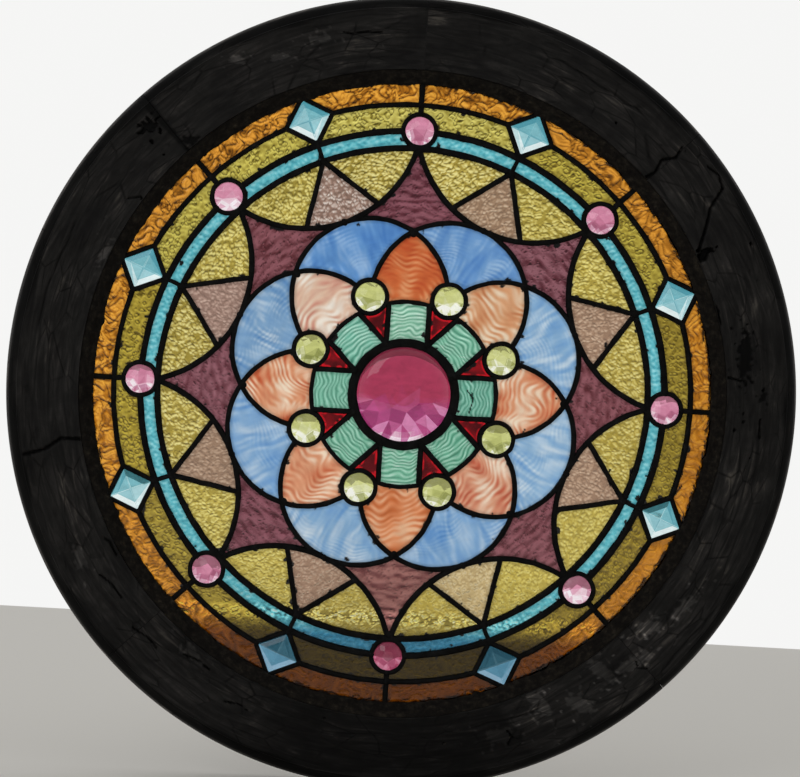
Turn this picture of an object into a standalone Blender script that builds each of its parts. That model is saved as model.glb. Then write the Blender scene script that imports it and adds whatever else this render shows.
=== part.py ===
"""Round leaded glass window in its own wood frame.

The window stands upright with its front facing -Y and the flat back of its frame on Y = 0. The origin
is on that back face at the lowest point of the round frame, half way across the wood. Sizes are in
metres. Flat shapes are drawn around the middle of the window, x to the right and y up as seen from the
front, with angles in degrees clockwise from the top. The pattern repeats eight times.
"""

import math

import bmesh
import bpy
from mathutils import Matrix, Vector

# Pattern
REPEATS = 8
STEP_ANGLE = 360.0 / REPEATS
HALF_STEP = STEP_ANGLE / 2
MIDDLE = Vector((0.0, 0.0))

# Clearance between neighbouring pieces, and how far a chord may stand off its arc
GAP = 0.0003
ARC_SAG = 0.0010

# Flower in the middle
CENTRE_JEWEL_RADIUS = 0.0423
CENTRE_JEWEL_THICKNESS = 0.0200
CENTRE_JEWEL_SIDES = 24
JEWEL_RING_WIDTH = 0.0081
GREEN_PANE_LENGTH = 0.0311
GREEN_BAR_OFFSET = 0.0184
GREEN_BAR_WIDTH = 0.0047
GREEN_RING_WIDTH = 0.0038
LIME_JEWEL_RADIUS = 0.0131
LIME_JEWEL_STANDOFF = 0.0098
ROSETTE_EASE = 0.0009
ROSETTE_WIDTH = 0.0043

# Fan of arches around the flower
FAN_WIDTH = 0.0577
FAN_BAR_ANGLE = 33.5
FAN_BAR_WIDTH = 0.0045
FAN_RING_WIDTH = 0.0054
ARCH_WIDTH = 0.0048
ARCH_OVERRUN = 0.0035

# Bands around the fan, each measured between the middles of its lead rings
TURQUOISE_BAND_WIDTH = 0.0152
TURQUOISE_RING_WIDTH = 0.0056
OLIVE_BAND_WIDTH = 0.0238
OLIVE_RING_WIDTH = 0.0044
AMBER_BAND_WIDTH = 0.0202
SHORT_BAR_WIDTH = 0.0038
SPOKE_WIDTH = 0.0048
PINK_JEWEL_RADIUS = 0.0128
PINK_JEWEL_STANDOFF = 0.0005
SQUARE_JEWEL_SIDE = 0.0269
SQUARE_JEWEL_SETBACK = 0.0009
SQUARE_SIDES = 4
SMALL_JEWEL_THICKNESS = 0.0100
SMALL_JEWEL_SIDES = 10
SMALL_JEWEL_WIDTH = 0.0042
TABLE_SHARE = 0.60

# Leaded panel: a net of lead in front, and the glass behind it with its edges under the lead
LEAD_DEPTH = 0.0030
GLASS_THICKNESS = 0.0030
RIM_REACH = 0.0089
RIM_TUCK = 0.0035
TUCK = 0.0006
JEWEL_WALL = 0.0014
FAN_WEB_WIDTH = 0.0020
FAN_MEETING_INSET = 0.0007

# Wood frame
FRAME_FACE_WIDTH = 0.0550
FRAME_EDGE_WIDTH = 0.0105
FRAME_DEPTH = 0.0440
FRAME_SIDE_DEPTH = 0.0310
EDGE_STEP = 0.0030
LEDGE_REACH = 0.0090
LEDGE_DEPTH = 0.0220
FRAME_SIDES = 40
FRAME_QUARTERS = {"frame_top": -45.0, "frame_right": 45.0, "frame_bottom": 135.0, "frame_left": 225.0}
QUARTER_ANGLE = 90.0

# Putty bead in the rebate
PUTTY_REACH = 0.0113
PUTTY_HEIGHT = 0.0125

# Radii that follow, from the middle outwards. Each rosette circle passes the middle of the next jewel.
JEWEL_RING_OUTER = CENTRE_JEWEL_RADIUS + JEWEL_RING_WIDTH
GREEN_RING_RADIUS = JEWEL_RING_OUTER + GREEN_PANE_LENGTH + GREEN_RING_WIDTH / 2
LIME_JEWEL_PLACE = GREEN_RING_RADIUS + LIME_JEWEL_STANDOFF
ROSETTE_RADIUS = 2 * LIME_JEWEL_PLACE * math.sin(math.radians(HALF_STEP)) - ROSETTE_EASE
ROSETTE_REACH = LIME_JEWEL_PLACE + ROSETTE_RADIUS
FAN_RING_RADIUS = ROSETTE_REACH + FAN_WIDTH
FAN_MEETING = FAN_RING_RADIUS - FAN_MEETING_INSET
TURQUOISE_RING_RADIUS = FAN_RING_RADIUS + TURQUOISE_BAND_WIDTH
PINK_JEWEL_PLACE = TURQUOISE_RING_RADIUS + PINK_JEWEL_STANDOFF
OLIVE_RING_RADIUS = TURQUOISE_RING_RADIUS + OLIVE_BAND_WIDTH
SQUARE_JEWEL_PLACE = OLIVE_RING_RADIUS - SQUARE_JEWEL_SETBACK
SQUARE_HALF_SIDE = SQUARE_JEWEL_SIDE / 2
SQUARE_CORNER = SQUARE_HALF_SIDE * math.sqrt(2.0)
RIM_RADIUS = OLIVE_RING_RADIUS + AMBER_BAND_WIDTH
LEAD_OUTER_RADIUS = RIM_RADIUS + RIM_REACH
REBATE_RADIUS = LEAD_OUTER_RADIUS + 2 * GAP
LEDGE_RADIUS = REBATE_RADIUS - LEDGE_REACH
FRAME_FACE_RADIUS = REBATE_RADIUS + FRAME_FACE_WIDTH
FRAME_OUTER_RADIUS = FRAME_FACE_RADIUS + FRAME_EDGE_WIDTH
CENTRE_HEIGHT = (LEDGE_RADIUS + FRAME_OUTER_RADIUS) / 2

# Each arch touches the flower's reach on its own axis and meets the next arch at this radius
ARCH_MEETING = FAN_RING_RADIUS + ARCH_OVERRUN
ARCH_SLACK = ARCH_MEETING * math.cos(math.radians(HALF_STEP)) - ROSETTE_REACH
ARCH_PLACE = (ARCH_MEETING**2 - ROSETTE_REACH**2) / (2 * ARCH_SLACK)
ARCH_RADIUS = ARCH_PLACE - ROSETTE_REACH

# Depths that follow, from the back forwards
GLASS_BACK = -(LEDGE_DEPTH + GAP)
GLASS_MIDDLE = GLASS_BACK - GLASS_THICKNESS / 2
LEAD_BACK = GLASS_BACK - GLASS_THICKNESS - GAP
LEAD_MIDDLE = LEAD_BACK - LEAD_DEPTH / 2
LEAD_FRONT = LEAD_BACK - LEAD_DEPTH
PANEL_MIDDLE = (GLASS_BACK + LEAD_FRONT) / 2
PANEL_DEPTH = GLASS_BACK - LEAD_FRONT


# Points and edges of the pattern


def polar(radius, angle):
    """Point at a radius and an angle."""
    turn = math.radians(angle)
    return Vector((radius * math.sin(turn), radius * math.cos(turn)))


def turned(point, angle):
    """Point turned clockwise about the middle of the window."""
    turn = math.radians(angle)
    across = point.x * math.cos(turn) + point.y * math.sin(turn)
    up = point.y * math.cos(turn) - point.x * math.sin(turn)
    return Vector((across, up))


def chord_angle(radius):
    """Angle of the longest chord that keeps within the sag of an arc."""
    return 2 * math.acos(1 - ARC_SAG / radius)


class Arc:
    """Edge of glass along a circular came, with the glass inside or outside the circle."""

    def __init__(self, centre, radius, width=0.0, glass_inside=True, via=None):
        self.centre = centre
        self.radius = radius
        self.half = width / 2
        self.side = 1 if glass_inside else -1
        self.via = via

    def glass_radius(self, gap):
        return self.radius - self.side * (self.half + gap)

    def bearing(self, point):
        across = point - self.centre
        return math.atan2(across.y, across.x)

    def sweep(self, start, stop):
        """Angle from start to stop, the short way, or the way that passes the via point."""
        swing = (self.bearing(stop) - self.bearing(start)) % math.tau
        if self.via is None:
            return swing if swing <= math.pi else swing - math.tau
        passed = (self.bearing(self.via) - self.bearing(start)) % math.tau
        return swing if passed <= swing else swing - math.tau

    def steps(self, start, stop):
        return max(1, math.ceil(abs(self.sweep(start, stop)) / chord_angle(self.radius)))

    def run(self, start, stop, gap, steps):
        first = self.bearing(start)
        swing = self.sweep(start, stop)
        radius = self.glass_radius(gap)
        points = []
        for step in range(steps):
            turn = first + swing * step / steps
            points.append(self.centre + radius * Vector((math.cos(turn), math.sin(turn))))
        return points


class Bar:
    """Edge of glass along a straight came, with the glass on the side that toward points to."""

    def __init__(self, point, toward, width=0.0):
        self.point = point
        self.toward = toward.normalized()
        self.half = width / 2

    def glass_point(self, gap):
        return self.point + self.toward * (self.half + gap)

    def steps(self, start, stop):
        return 1

    def run(self, start, stop, gap, steps):
        return [start]


def line_circle(bar, arc, gap):
    """Points where a bar's glass edge crosses an arc's glass edge."""
    along = Vector((bar.toward.y, -bar.toward.x))
    point = bar.glass_point(gap)
    foot = point + along * (arc.centre - point).dot(along)
    reach = math.sqrt(arc.glass_radius(gap) ** 2 - (foot - arc.centre).length_squared)
    return [foot + along * reach, foot - along * reach]


def circle_circle(first, second, gap):
    """Points where the glass edges of two arcs cross."""
    between = second.centre - first.centre
    distance = between.length
    reach_first = first.glass_radius(gap)
    reach_second = second.glass_radius(gap)
    along = (distance**2 + reach_first**2 - reach_second**2) / (2 * distance)
    aside = math.sqrt(reach_first**2 - along**2)
    unit = between / distance
    across = Vector((-unit.y, unit.x))
    foot = first.centre + unit * along
    return [foot + across * aside, foot - across * aside]


def line_line(first, second, gap):
    """Point where the glass edges of two bars cross."""
    start = first.glass_point(gap)
    along = Vector((first.toward.y, -first.toward.x))
    distance = (second.glass_point(gap) - start).dot(second.toward) / along.dot(second.toward)
    return [start + along * distance]


def corner(first, second, gap, near):
    """Crossing of two glass edges that lies nearest to a point."""
    if isinstance(first, Bar) and isinstance(second, Bar):
        crossings = line_line(first, second, gap)
    elif isinstance(first, Bar):
        crossings = line_circle(first, second, gap)
    elif isinstance(second, Bar):
        crossings = line_circle(second, first, gap)
    else:
        crossings = circle_circle(first, second, gap)
    return min(crossings, key=lambda point: (point - near).length)


def corners(edges, near, gap):
    """Corner before each edge of a closed run."""
    return [corner(edges[index - 1], edges[index], gap, near[index]) for index in range(len(edges))]


def follow(edges, near, gap, closing_turn):
    """Points along a run of edges, up to its first corner turned by the closing angle."""
    nominal = corners(edges, near, 0.0)
    placed = corners(edges, near, gap)
    nominal.append(turned(nominal[0], closing_turn))
    placed.append(turned(placed[0], closing_turn))
    points = []
    for index, edge in enumerate(edges):
        steps = edge.steps(nominal[index], nominal[index + 1])
        points += edge.run(placed[index], placed[index + 1], gap, steps)
    return points


def pane_outline(edges, middle, gap):
    """Outline of one pane, from edges in order around a point in its middle."""
    return follow(edges, [middle] * len(edges), gap, 0.0)


def notched_circle(ring, notch, near):
    """Outline that follows a ring and turns aside along the notch once in each repeat."""
    period = follow([*notch, ring], near, 0.0, STEP_ANGLE)
    return [turned(point, STEP_ANGLE * count) for count in range(REPEATS) for point in period]


def regular_polygon(centre, radius, sides, first_angle):
    """Corners of a regular polygon."""
    return [centre + polar(radius, first_angle + 360.0 * side / sides) for side in range(sides)]


def full_circle(radius):
    """Outline of a whole ring, with as many sides as its sag asks for."""
    sides = REPEATS * math.ceil(math.tau / chord_angle(radius) / REPEATS)
    return regular_polygon(MIDDLE, radius, sides, 0.0)


# Edges of the lead pattern, each with the glass on a stated side


def ring_edge(radius, width, glass_inside):
    return Arc(MIDDLE, radius, width, glass_inside)


def rosette_edge(angle, glass_inside):
    """Rosette circle, centred on a lime jewel."""
    return Arc(polar(LIME_JEWEL_PLACE, angle), ROSETTE_RADIUS, ROSETTE_WIDTH, glass_inside)


def arch_edge(angle, glass_inside):
    """Arch circle, which touches a rosette circle from outside."""
    return Arc(polar(ARCH_PLACE, angle), ARCH_RADIUS, ARCH_WIDTH, glass_inside)


def jewel_edge(place, angle, jewel_radius):
    """Came around a small round jewel, with the glass outside it."""
    return Arc(polar(place, angle), jewel_radius + SMALL_JEWEL_WIDTH / 2, SMALL_JEWEL_WIDTH, False)


def lime_edge(angle):
    return jewel_edge(LIME_JEWEL_PLACE, angle, LIME_JEWEL_RADIUS)


def pink_edge(angle):
    return jewel_edge(PINK_JEWEL_PLACE, angle, PINK_JEWEL_RADIUS)


def square_edge(outward, clockwise, reach, width):
    """Side of the square jewel on the half step axis, with the glass away from the jewel."""
    out = polar(1.0, HALF_STEP)
    around = polar(1.0, HALF_STEP + 90.0)
    toward = (out * outward + around * clockwise).normalized()
    return Bar(out * SQUARE_JEWEL_PLACE + toward * reach, toward, width)


def square_came(outward):
    """Came along the anticlockwise side of the square jewel."""
    return square_edge(outward, -1, SQUARE_HALF_SIDE + SMALL_JEWEL_WIDTH / 2, SMALL_JEWEL_WIDTH)


def green_bar(angle, side):
    """Bar beside a green pane, with the pane on the side that faces its axis."""
    across = polar(1.0, angle + 90.0) * side
    return Bar(across * GREEN_BAR_OFFSET, -across, GREEN_BAR_WIDTH)


def red_bar(angle, side):
    """The same bar, with the red pane beyond it."""
    bar = green_bar(angle, side)
    return Bar(bar.point, -bar.toward, GREEN_BAR_WIDTH)


def fan_bar(side, pane_side):
    """Slanted bar of the fan, from the fan ring at the half step axis to the arch."""
    apex = polar(FAN_RING_RADIUS, HALF_STEP)
    across = polar(1.0, HALF_STEP + 90.0 - side * FAN_BAR_ANGLE)
    return Bar(apex, across * pane_side, FAN_BAR_WIDTH)


# Panes in the first repeat, each as edges in order and a point in its middle


def green_pane():
    middle = polar((JEWEL_RING_OUTER + GREEN_RING_RADIUS) / 2, 0.0)
    inner = ring_edge(JEWEL_RING_OUTER - JEWEL_RING_WIDTH / 2, JEWEL_RING_WIDTH, False)
    outer = ring_edge(GREEN_RING_RADIUS, GREEN_RING_WIDTH, True)
    return [inner, green_bar(0.0, 1), outer, green_bar(0.0, -1)], middle


def red_pane():
    middle = polar((JEWEL_RING_OUTER + LIME_JEWEL_PLACE) / 2, HALF_STEP)
    return [red_bar(0.0, 1), red_bar(STEP_ANGLE, -1), lime_edge(HALF_STEP)], middle


def orange_petal():
    middle = polar(LIME_JEWEL_PLACE + ROSETTE_RADIUS / 3, 0.0)
    inner = ring_edge(GREEN_RING_RADIUS, GREEN_RING_WIDTH, False)
    left = rosette_edge(HALF_STEP, True)
    right = rosette_edge(-HALF_STEP, True)
    return [left, right, lime_edge(HALF_STEP), inner, lime_edge(-HALF_STEP)], middle


def blue_petal():
    middle = polar(LIME_JEWEL_PLACE + ROSETTE_RADIUS * 2 / 3, HALF_STEP)
    outer = rosette_edge(HALF_STEP, True)
    left = rosette_edge(-HALF_STEP, False)
    right = rosette_edge(HALF_STEP + STEP_ANGLE, False)
    return [outer, right, lime_edge(HALF_STEP), left], middle


def purple_star():
    middle = polar(LIME_JEWEL_PLACE + ROSETTE_RADIUS * 5 / 4, 0.0)
    left_arch = arch_edge(-HALF_STEP, False)
    right_arch = arch_edge(HALF_STEP, False)
    right_rosette = rosette_edge(HALF_STEP, False)
    left_rosette = rosette_edge(-HALF_STEP, False)
    return [left_arch, right_arch, right_rosette, left_rosette], middle


def mauve_pane():
    middle = polar(FAN_RING_RADIUS - ARCH_RADIUS / 3, HALF_STEP)
    return [fan_bar(1, -1), arch_edge(HALF_STEP, True), fan_bar(-1, 1)], middle


def yellow_pane():
    middle = polar(FAN_RING_RADIUS - ARCH_RADIUS / 6, HALF_STEP / 2)
    outer = ring_edge(FAN_RING_RADIUS, FAN_RING_WIDTH, True)
    return [outer, fan_bar(-1, -1), arch_edge(HALF_STEP, True)], middle


def turquoise_strip():
    middle = polar((FAN_RING_RADIUS + TURQUOISE_RING_RADIUS) / 2, HALF_STEP * 0.6)
    inner = ring_edge(FAN_RING_RADIUS, FAN_RING_WIDTH, False)
    outer = ring_edge(TURQUOISE_RING_RADIUS, TURQUOISE_RING_WIDTH, True)
    short_bar = Bar(MIDDLE, polar(-1.0, HALF_STEP + 90.0), SHORT_BAR_WIDTH)
    return [inner, short_bar, outer, pink_edge(0.0)], middle


def olive_pane():
    middle = polar((TURQUOISE_RING_RADIUS + OLIVE_RING_RADIUS) / 2, HALF_STEP / 2)
    inner = ring_edge(TURQUOISE_RING_RADIUS, TURQUOISE_RING_WIDTH, False)
    outer = ring_edge(OLIVE_RING_RADIUS, OLIVE_RING_WIDTH, True)
    spoke = Bar(MIDDLE, polar(1.0, 90.0), SPOKE_WIDTH)
    return [inner, square_came(-1), outer, spoke, pink_edge(0.0)], middle


def amber_pane():
    middle = polar((OLIVE_RING_RADIUS + RIM_RADIUS) / 2, HALF_STEP / 2)
    inner = ring_edge(OLIVE_RING_RADIUS, OLIVE_RING_WIDTH, False)
    outer = ring_edge(RIM_RADIUS, 0.0, True)
    spoke = Bar(MIDDLE, polar(1.0, 90.0), SPOKE_WIDTH)
    return [inner, square_came(1), outer, spoke], middle


# Openings of the lead, one for each piece of glass


def all_round(outline):
    """An outline and its copies in the other repeats."""
    return [[turned(point, STEP_ANGLE * count) for point in outline] for count in range(REPEATS)]


def lead_openings():
    """Outlines of all the openings in the lead."""
    openings = [regular_polygon(MIDDLE, CENTRE_JEWEL_RADIUS, CENTRE_JEWEL_SIDES, 0.0)]
    for place, angle, radius, sides in small_jewels().values():
        openings += all_round(regular_polygon(polar(place, angle), radius, sides, angle))
    for pane in (green_pane, red_pane, orange_petal, blue_petal, purple_star, mauve_pane):
        openings += all_round(pane_outline(*pane(), 0.0))
    for pane in (yellow_pane, turquoise_strip, olive_pane, amber_pane):
        outline = pane_outline(*pane(), 0.0)
        mirrored = [Vector((-point.x, point.y)) for point in reversed(outline)]
        openings += all_round(outline) + all_round(mirrored)
    return openings


def small_jewels():
    """Place, angle, corner radius and sides of each kind of small jewel."""
    return {
        "lime_jewel": (LIME_JEWEL_PLACE, HALF_STEP, LIME_JEWEL_RADIUS, SMALL_JEWEL_SIDES),
        "pink_jewel": (PINK_JEWEL_PLACE, 0.0, PINK_JEWEL_RADIUS, SMALL_JEWEL_SIDES),
        "square_jewel": (SQUARE_JEWEL_PLACE, HALF_STEP, SQUARE_CORNER, SQUARE_SIDES),
    }


# Outlines of the five glass rings. Each runs on behind the bars of lead that divide it.


def round_notch(place, angle, jewel_radius, passed):
    """Notch around a round jewel, passed below or above its middle, and points near its two ends."""
    radius = jewel_radius + JEWEL_WALL
    notch = Arc(polar(place, angle), radius, 0.0, False, polar(place + passed * radius, angle))
    spread = math.degrees(math.asin(radius / place))
    return [notch], [polar(place, angle - spread), polar(place, angle + spread)]


def square_notch(outward):
    """Notch around a square jewel, on its inner or outer half, and points near its corners."""
    reach = SQUARE_HALF_SIDE + JEWEL_WALL
    notch = [square_edge(outward, side, reach, 0.0) for side in (-1, 1)]
    middle = polar(SQUARE_JEWEL_PLACE, HALF_STEP)
    around = polar(reach * math.sqrt(2.0), HALF_STEP + 90.0)
    tip = polar(SQUARE_JEWEL_PLACE + outward * reach * math.sqrt(2.0), HALF_STEP)
    return notch, [middle - around, tip, middle + around]


def green_and_red_outlines():
    notch, near = round_notch(LIME_JEWEL_PLACE, HALF_STEP, LIME_JEWEL_RADIUS, -1)
    outer = Arc(MIDDLE, GREEN_RING_RADIUS - GREEN_RING_WIDTH / 2 + TUCK)
    inner = JEWEL_RING_OUTER - TUCK
    return [notched_circle(outer, notch, near), full_circle(inner)]


def yellow_and_mauve_outlines():
    outer = FAN_MEETING - GAP
    arch = Arc(polar(ARCH_PLACE, HALF_STEP), ARCH_RADIUS - ARCH_WIDTH / 2 + TUCK)
    arch.via = polar(ARCH_PLACE - ARCH_RADIUS, HALF_STEP)
    web = Arc(MIDDLE, outer - FAN_WEB_WIDTH, 0.0, False)
    near = [polar(web.radius, 0.0), polar(web.radius, STEP_ANGLE)]
    return [full_circle(outer), notched_circle(web, [arch], near)]


def turquoise_outlines():
    notch, near = round_notch(PINK_JEWEL_PLACE, 0.0, PINK_JEWEL_RADIUS, -1)
    outer = Arc(MIDDLE, TURQUOISE_RING_RADIUS - TURQUOISE_RING_WIDTH / 2 + TUCK)
    inner = FAN_MEETING + GAP
    return [notched_circle(outer, notch, near), full_circle(inner)]


def olive_outlines():
    notch, near = square_notch(-1)
    outer = Arc(MIDDLE, OLIVE_RING_RADIUS - OLIVE_RING_WIDTH / 2 + TUCK)
    jewel_notch, jewel_near = round_notch(PINK_JEWEL_PLACE, 0.0, PINK_JEWEL_RADIUS, 1)
    inner = Arc(MIDDLE, TURQUOISE_RING_RADIUS + GAP, 0.0, False)
    return [notched_circle(outer, notch, near), notched_circle(inner, jewel_notch, jewel_near)]


def amber_outlines():
    notch, near = square_notch(1)
    inner = Arc(MIDDLE, OLIVE_RING_RADIUS + OLIVE_RING_WIDTH / 2 - TUCK, 0.0, False)
    outer = RIM_RADIUS + RIM_TUCK
    return [full_circle(outer), notched_circle(inner, notch, near)]


GLASS_RINGS = {
    "green_and_red_ring": green_and_red_outlines,
    "yellow_and_mauve_ring": yellow_and_mauve_outlines,
    "turquoise_ring": turquoise_outlines,
    "olive_ring": olive_outlines,
    "amber_ring": amber_outlines,
}


# Scene and materials


def clear_scene():
    for thing in list(bpy.data.objects):
        bpy.data.objects.remove(thing, do_unlink=True)


def new_collection(name):
    collection = bpy.data.collections.new(name)
    bpy.context.scene.collection.children.link(collection)
    return collection


def new_material(name, colour, roughness, metallic=0.0):
    """Principled material of one colour."""
    material = bpy.data.materials.new(name)
    material.use_nodes = True
    shader = material.node_tree.nodes["Principled BSDF"]
    shader.inputs["Base Color"].default_value = (*colour, 1.0)
    shader.inputs["Roughness"].default_value = roughness
    shader.inputs["Metallic"].default_value = metallic
    return material


def add_object(name, mesh, material, collection, depth, angle=0.0):
    """Object for a mesh drawn around the window's middle, turned clockwise in its plane."""
    thing = bpy.data.objects.new(name, mesh)
    if not mesh.materials:
        mesh.materials.append(material)
    thing.location = (0.0, depth, CENTRE_HEIGHT)
    thing.rotation_euler = (0.0, math.radians(angle), 0.0)
    collection.objects.link(thing)
    return thing


# Meshes


def flat_mesh(name, outlines, thickness):
    """Upright plate of even thickness from closed outlines, the inner ones being its openings."""
    drawing = bpy.data.curves.new(name, "CURVE")
    drawing.dimensions = "2D"
    drawing.fill_mode = "BOTH"
    drawing.extrude = thickness / 2
    for outline in outlines:
        spline = drawing.splines.new("POLY")
        spline.points.add(len(outline) - 1)
        for point, corner_point in zip(spline.points, outline):
            point.co = (corner_point.x, corner_point.y, 0.0, 1.0)
        spline.use_cyclic_u = True
    guide = bpy.data.objects.new(name, drawing)
    bpy.context.scene.collection.objects.link(guide)
    evaluated = guide.evaluated_get(bpy.context.evaluated_depsgraph_get())
    mesh = bpy.data.meshes.new_from_object(evaluated)
    bpy.data.objects.remove(guide)
    work = bmesh.new()
    work.from_mesh(mesh)
    bmesh.ops.remove_doubles(work, verts=work.verts, dist=GAP / 100)
    bmesh.ops.recalc_face_normals(work, faces=work.faces)
    bmesh.ops.rotate(work, verts=work.verts, matrix=Matrix.Rotation(math.pi / 2, 3, "X"))
    work.to_mesh(mesh)
    work.free()
    mesh.name = name
    return mesh


def spun_mesh(name, profile, start_angle, sweep, sides, closed_profile):
    """Solid of a profile of radii and depths, turned about the window's axis."""
    work = bmesh.new()
    vertices = []
    for radius, depth in profile:
        flat = polar(radius, start_angle)
        vertices.append(work.verts.new((flat.x, depth, flat.y)))
    if closed_profile:
        shape = [work.faces.new(vertices)]
    else:
        shape = [work.edges.new(pair) for pair in zip(vertices, vertices[1:])]
    bmesh.ops.spin(
        work,
        geom=[*vertices, *work.edges, *(shape if closed_profile else [])],
        cent=(0.0, 0.0, 0.0),
        axis=(0.0, 1.0, 0.0),
        angle=math.radians(sweep),
        steps=sides,
    )
    bmesh.ops.remove_doubles(work, verts=work.verts, dist=GAP / 100)
    if sweep == 360.0:
        buried = [face for face in work.faces if closed_profile and face in shape]
        bmesh.ops.delete(work, geom=buried, context="FACES_ONLY")
    bmesh.ops.recalc_face_normals(work, faces=work.faces)
    mesh = bpy.data.meshes.new(name)
    work.to_mesh(mesh)
    work.free()
    return mesh


def shade_round(mesh):
    """Smooth shading, with edges over 30 degrees left sharp."""
    mesh.shade_smooth()
    mesh.set_sharp_from_angle(angle=math.radians(30.0))


def jewel_mesh(name, radius, sides, first_angle, thickness):
    """Faceted jewel: a girdle as deep as the panel, and a slope to a flat table on each face."""
    hole_radius = radius - GAP / math.cos(math.pi / sides)
    half = thickness / 2
    girdle = PANEL_DEPTH / 2
    table = hole_radius * TABLE_SHARE
    slope = [(hole_radius, girdle), (hole_radius, -girdle)]
    profile = [(0.0, half), (table, half), *slope, (table, -half), (0.0, -half)]
    return spun_mesh(name, profile, first_angle, 360.0, sides, False)


# Pieces


def build_frame(collection):
    """Four quarters of the wood frame, with a rebate to the front and a rounded outer edge."""
    wood = new_material("old_painted_wood", (0.030, 0.024, 0.020), 0.6)
    face_round = (FRAME_FACE_RADIUS + FRAME_OUTER_RADIUS) / 2
    step_depth = FRAME_DEPTH - EDGE_STEP
    round_depth = (FRAME_SIDE_DEPTH + step_depth * 3) / 4
    profile = [
        (LEDGE_RADIUS, 0.0),
        (FRAME_OUTER_RADIUS, 0.0),
        (FRAME_OUTER_RADIUS, -FRAME_SIDE_DEPTH),
        (face_round, -round_depth),
        (FRAME_FACE_RADIUS, -step_depth),
        (FRAME_FACE_RADIUS, -FRAME_DEPTH),
        (REBATE_RADIUS, -FRAME_DEPTH),
        (REBATE_RADIUS, -LEDGE_DEPTH),
        (LEDGE_RADIUS, -LEDGE_DEPTH),
    ]
    joint_angle = math.degrees(GAP / LEDGE_RADIUS)
    sides = round(FRAME_SIDES * QUARTER_ANGLE / 360.0)
    for name, start in FRAME_QUARTERS.items():
        sweep = QUARTER_ANGLE - joint_angle
        mesh = spun_mesh(name, profile, start + joint_angle / 2, sweep, sides, True)
        shade_round(mesh)
        add_object(name, mesh, wood, collection, 0.0)


def build_putty(collection):
    """Putty bead that slopes from the rebate's wall down to the glass."""
    putty = new_material("old_putty", (0.085, 0.062, 0.045), 0.9)
    wall = REBATE_RADIUS - GAP
    toe = REBATE_RADIUS - PUTTY_REACH
    under = LEAD_FRONT - GAP
    top = under - PUTTY_HEIGHT
    profile = [
        (toe, under),
        (wall, under),
        (wall, top),
        (wall - PUTTY_REACH / 5, top + PUTTY_HEIGHT / 10),
        (wall - PUTTY_REACH * 2 / 3, under - PUTTY_HEIGHT / 2),
        (toe, under - PUTTY_HEIGHT / 8),
    ]
    mesh = spun_mesh("putty_bead", profile, 0.0, 360.0, FRAME_SIDES, True)
    shade_round(mesh)
    add_object("putty_bead", mesh, putty, collection, 0.0)


def build_lead(collection):
    """The whole net of lead, with an opening for each piece of glass."""
    lead = new_material("old_lead", (0.035, 0.036, 0.038), 0.55, 0.6)
    rim = regular_polygon(MIDDLE, LEAD_OUTER_RADIUS, FRAME_SIDES, 0.0)
    mesh = flat_mesh("lead_came", [rim, *lead_openings()], LEAD_DEPTH)
    add_object("lead_came", mesh, lead, collection, LEAD_MIDDLE)


def build_glass_rings(collection):
    """Five rings of flat glass, each one plate behind the lead that divides it."""
    colours = {
        "green_and_red_ring": (0.133, 0.479, 0.323),
        "yellow_and_mauve_ring": (0.491, 0.386, 0.050),
        "turquoise_ring": (0.107, 0.527, 0.578),
        "olive_ring": (0.255, 0.195, 0.013),
        "amber_ring": (0.479, 0.191, 0.011),
    }
    for name, outlines in GLASS_RINGS.items():
        mesh = flat_mesh(name, outlines(), GLASS_THICKNESS)
        glass = new_material(name + "_glass", colours[name], 0.15)
        add_object(name, mesh, glass, collection, GLASS_MIDDLE)


def build_petals_and_stars(collection):
    """Eight each of the orange petals, blue petals and purple four-pointed stars."""
    panes = {
        "orange_petal": (orange_petal, (0.740, 0.323, 0.147)),
        "blue_petal": (blue_petal, (0.159, 0.328, 0.638)),
        "purple_star": (purple_star, (0.112, 0.025, 0.033)),
    }
    for kind, (pane, colour) in panes.items():
        mesh = flat_mesh(kind, [pane_outline(*pane(), -TUCK)], GLASS_THICKNESS)
        glass = new_material(kind + "_glass", colour, 0.15)
        for count in range(REPEATS):
            add_object(f"{kind}_{count + 1}", mesh, glass, collection, GLASS_MIDDLE, STEP_ANGLE * count)


def build_jewels(collection):
    """The large centre jewel and eight each of the three kinds of small jewel."""
    thickness = CENTRE_JEWEL_THICKNESS
    centre = jewel_mesh("centre_jewel", CENTRE_JEWEL_RADIUS, CENTRE_JEWEL_SIDES, 0.0, thickness)
    ruby = new_material("centre_jewel_glass", (0.434, 0.044, 0.150), 0.05)
    add_object("centre_jewel", centre, ruby, collection, PANEL_MIDDLE)
    colours = {
        "lime_jewel": (0.521, 0.565, 0.181),
        "pink_jewel": (0.686, 0.231, 0.392),
        "square_jewel": (0.238, 0.565, 0.672),
    }
    for kind, (distance, angle, radius, sides) in small_jewels().items():
        mesh = jewel_mesh(kind, radius, sides, angle, SMALL_JEWEL_THICKNESS)
        middle = polar(distance, angle)
        mesh.transform(Matrix.Translation((middle.x, 0.0, middle.y)))
        glass = new_material(kind + "_glass", colours[kind], 0.05)
        for count in range(REPEATS):
            add_object(f"{kind}_{count + 1}", mesh, glass, collection, PANEL_MIDDLE, STEP_ANGLE * count)


def main():
    clear_scene()
    window = new_collection("round_leaded_window")
    build_frame(window)
    build_putty(window)
    build_lead(window)
    build_glass_rings(window)
    build_petals_and_stars(window)
    build_jewels(window)


main()
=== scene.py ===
"""Round leaded window in its old painted wood frame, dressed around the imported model.

Metres, with the front facing -Y. Flat shapes are drawn around the middle of the window, x to the right
and y up as seen from the front, with angles in degrees clockwise from the top.
"""

import math

import bmesh
import bpy
import numpy as np
from mathutils import Matrix, Quaternion, Vector, geometry, noise


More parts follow.
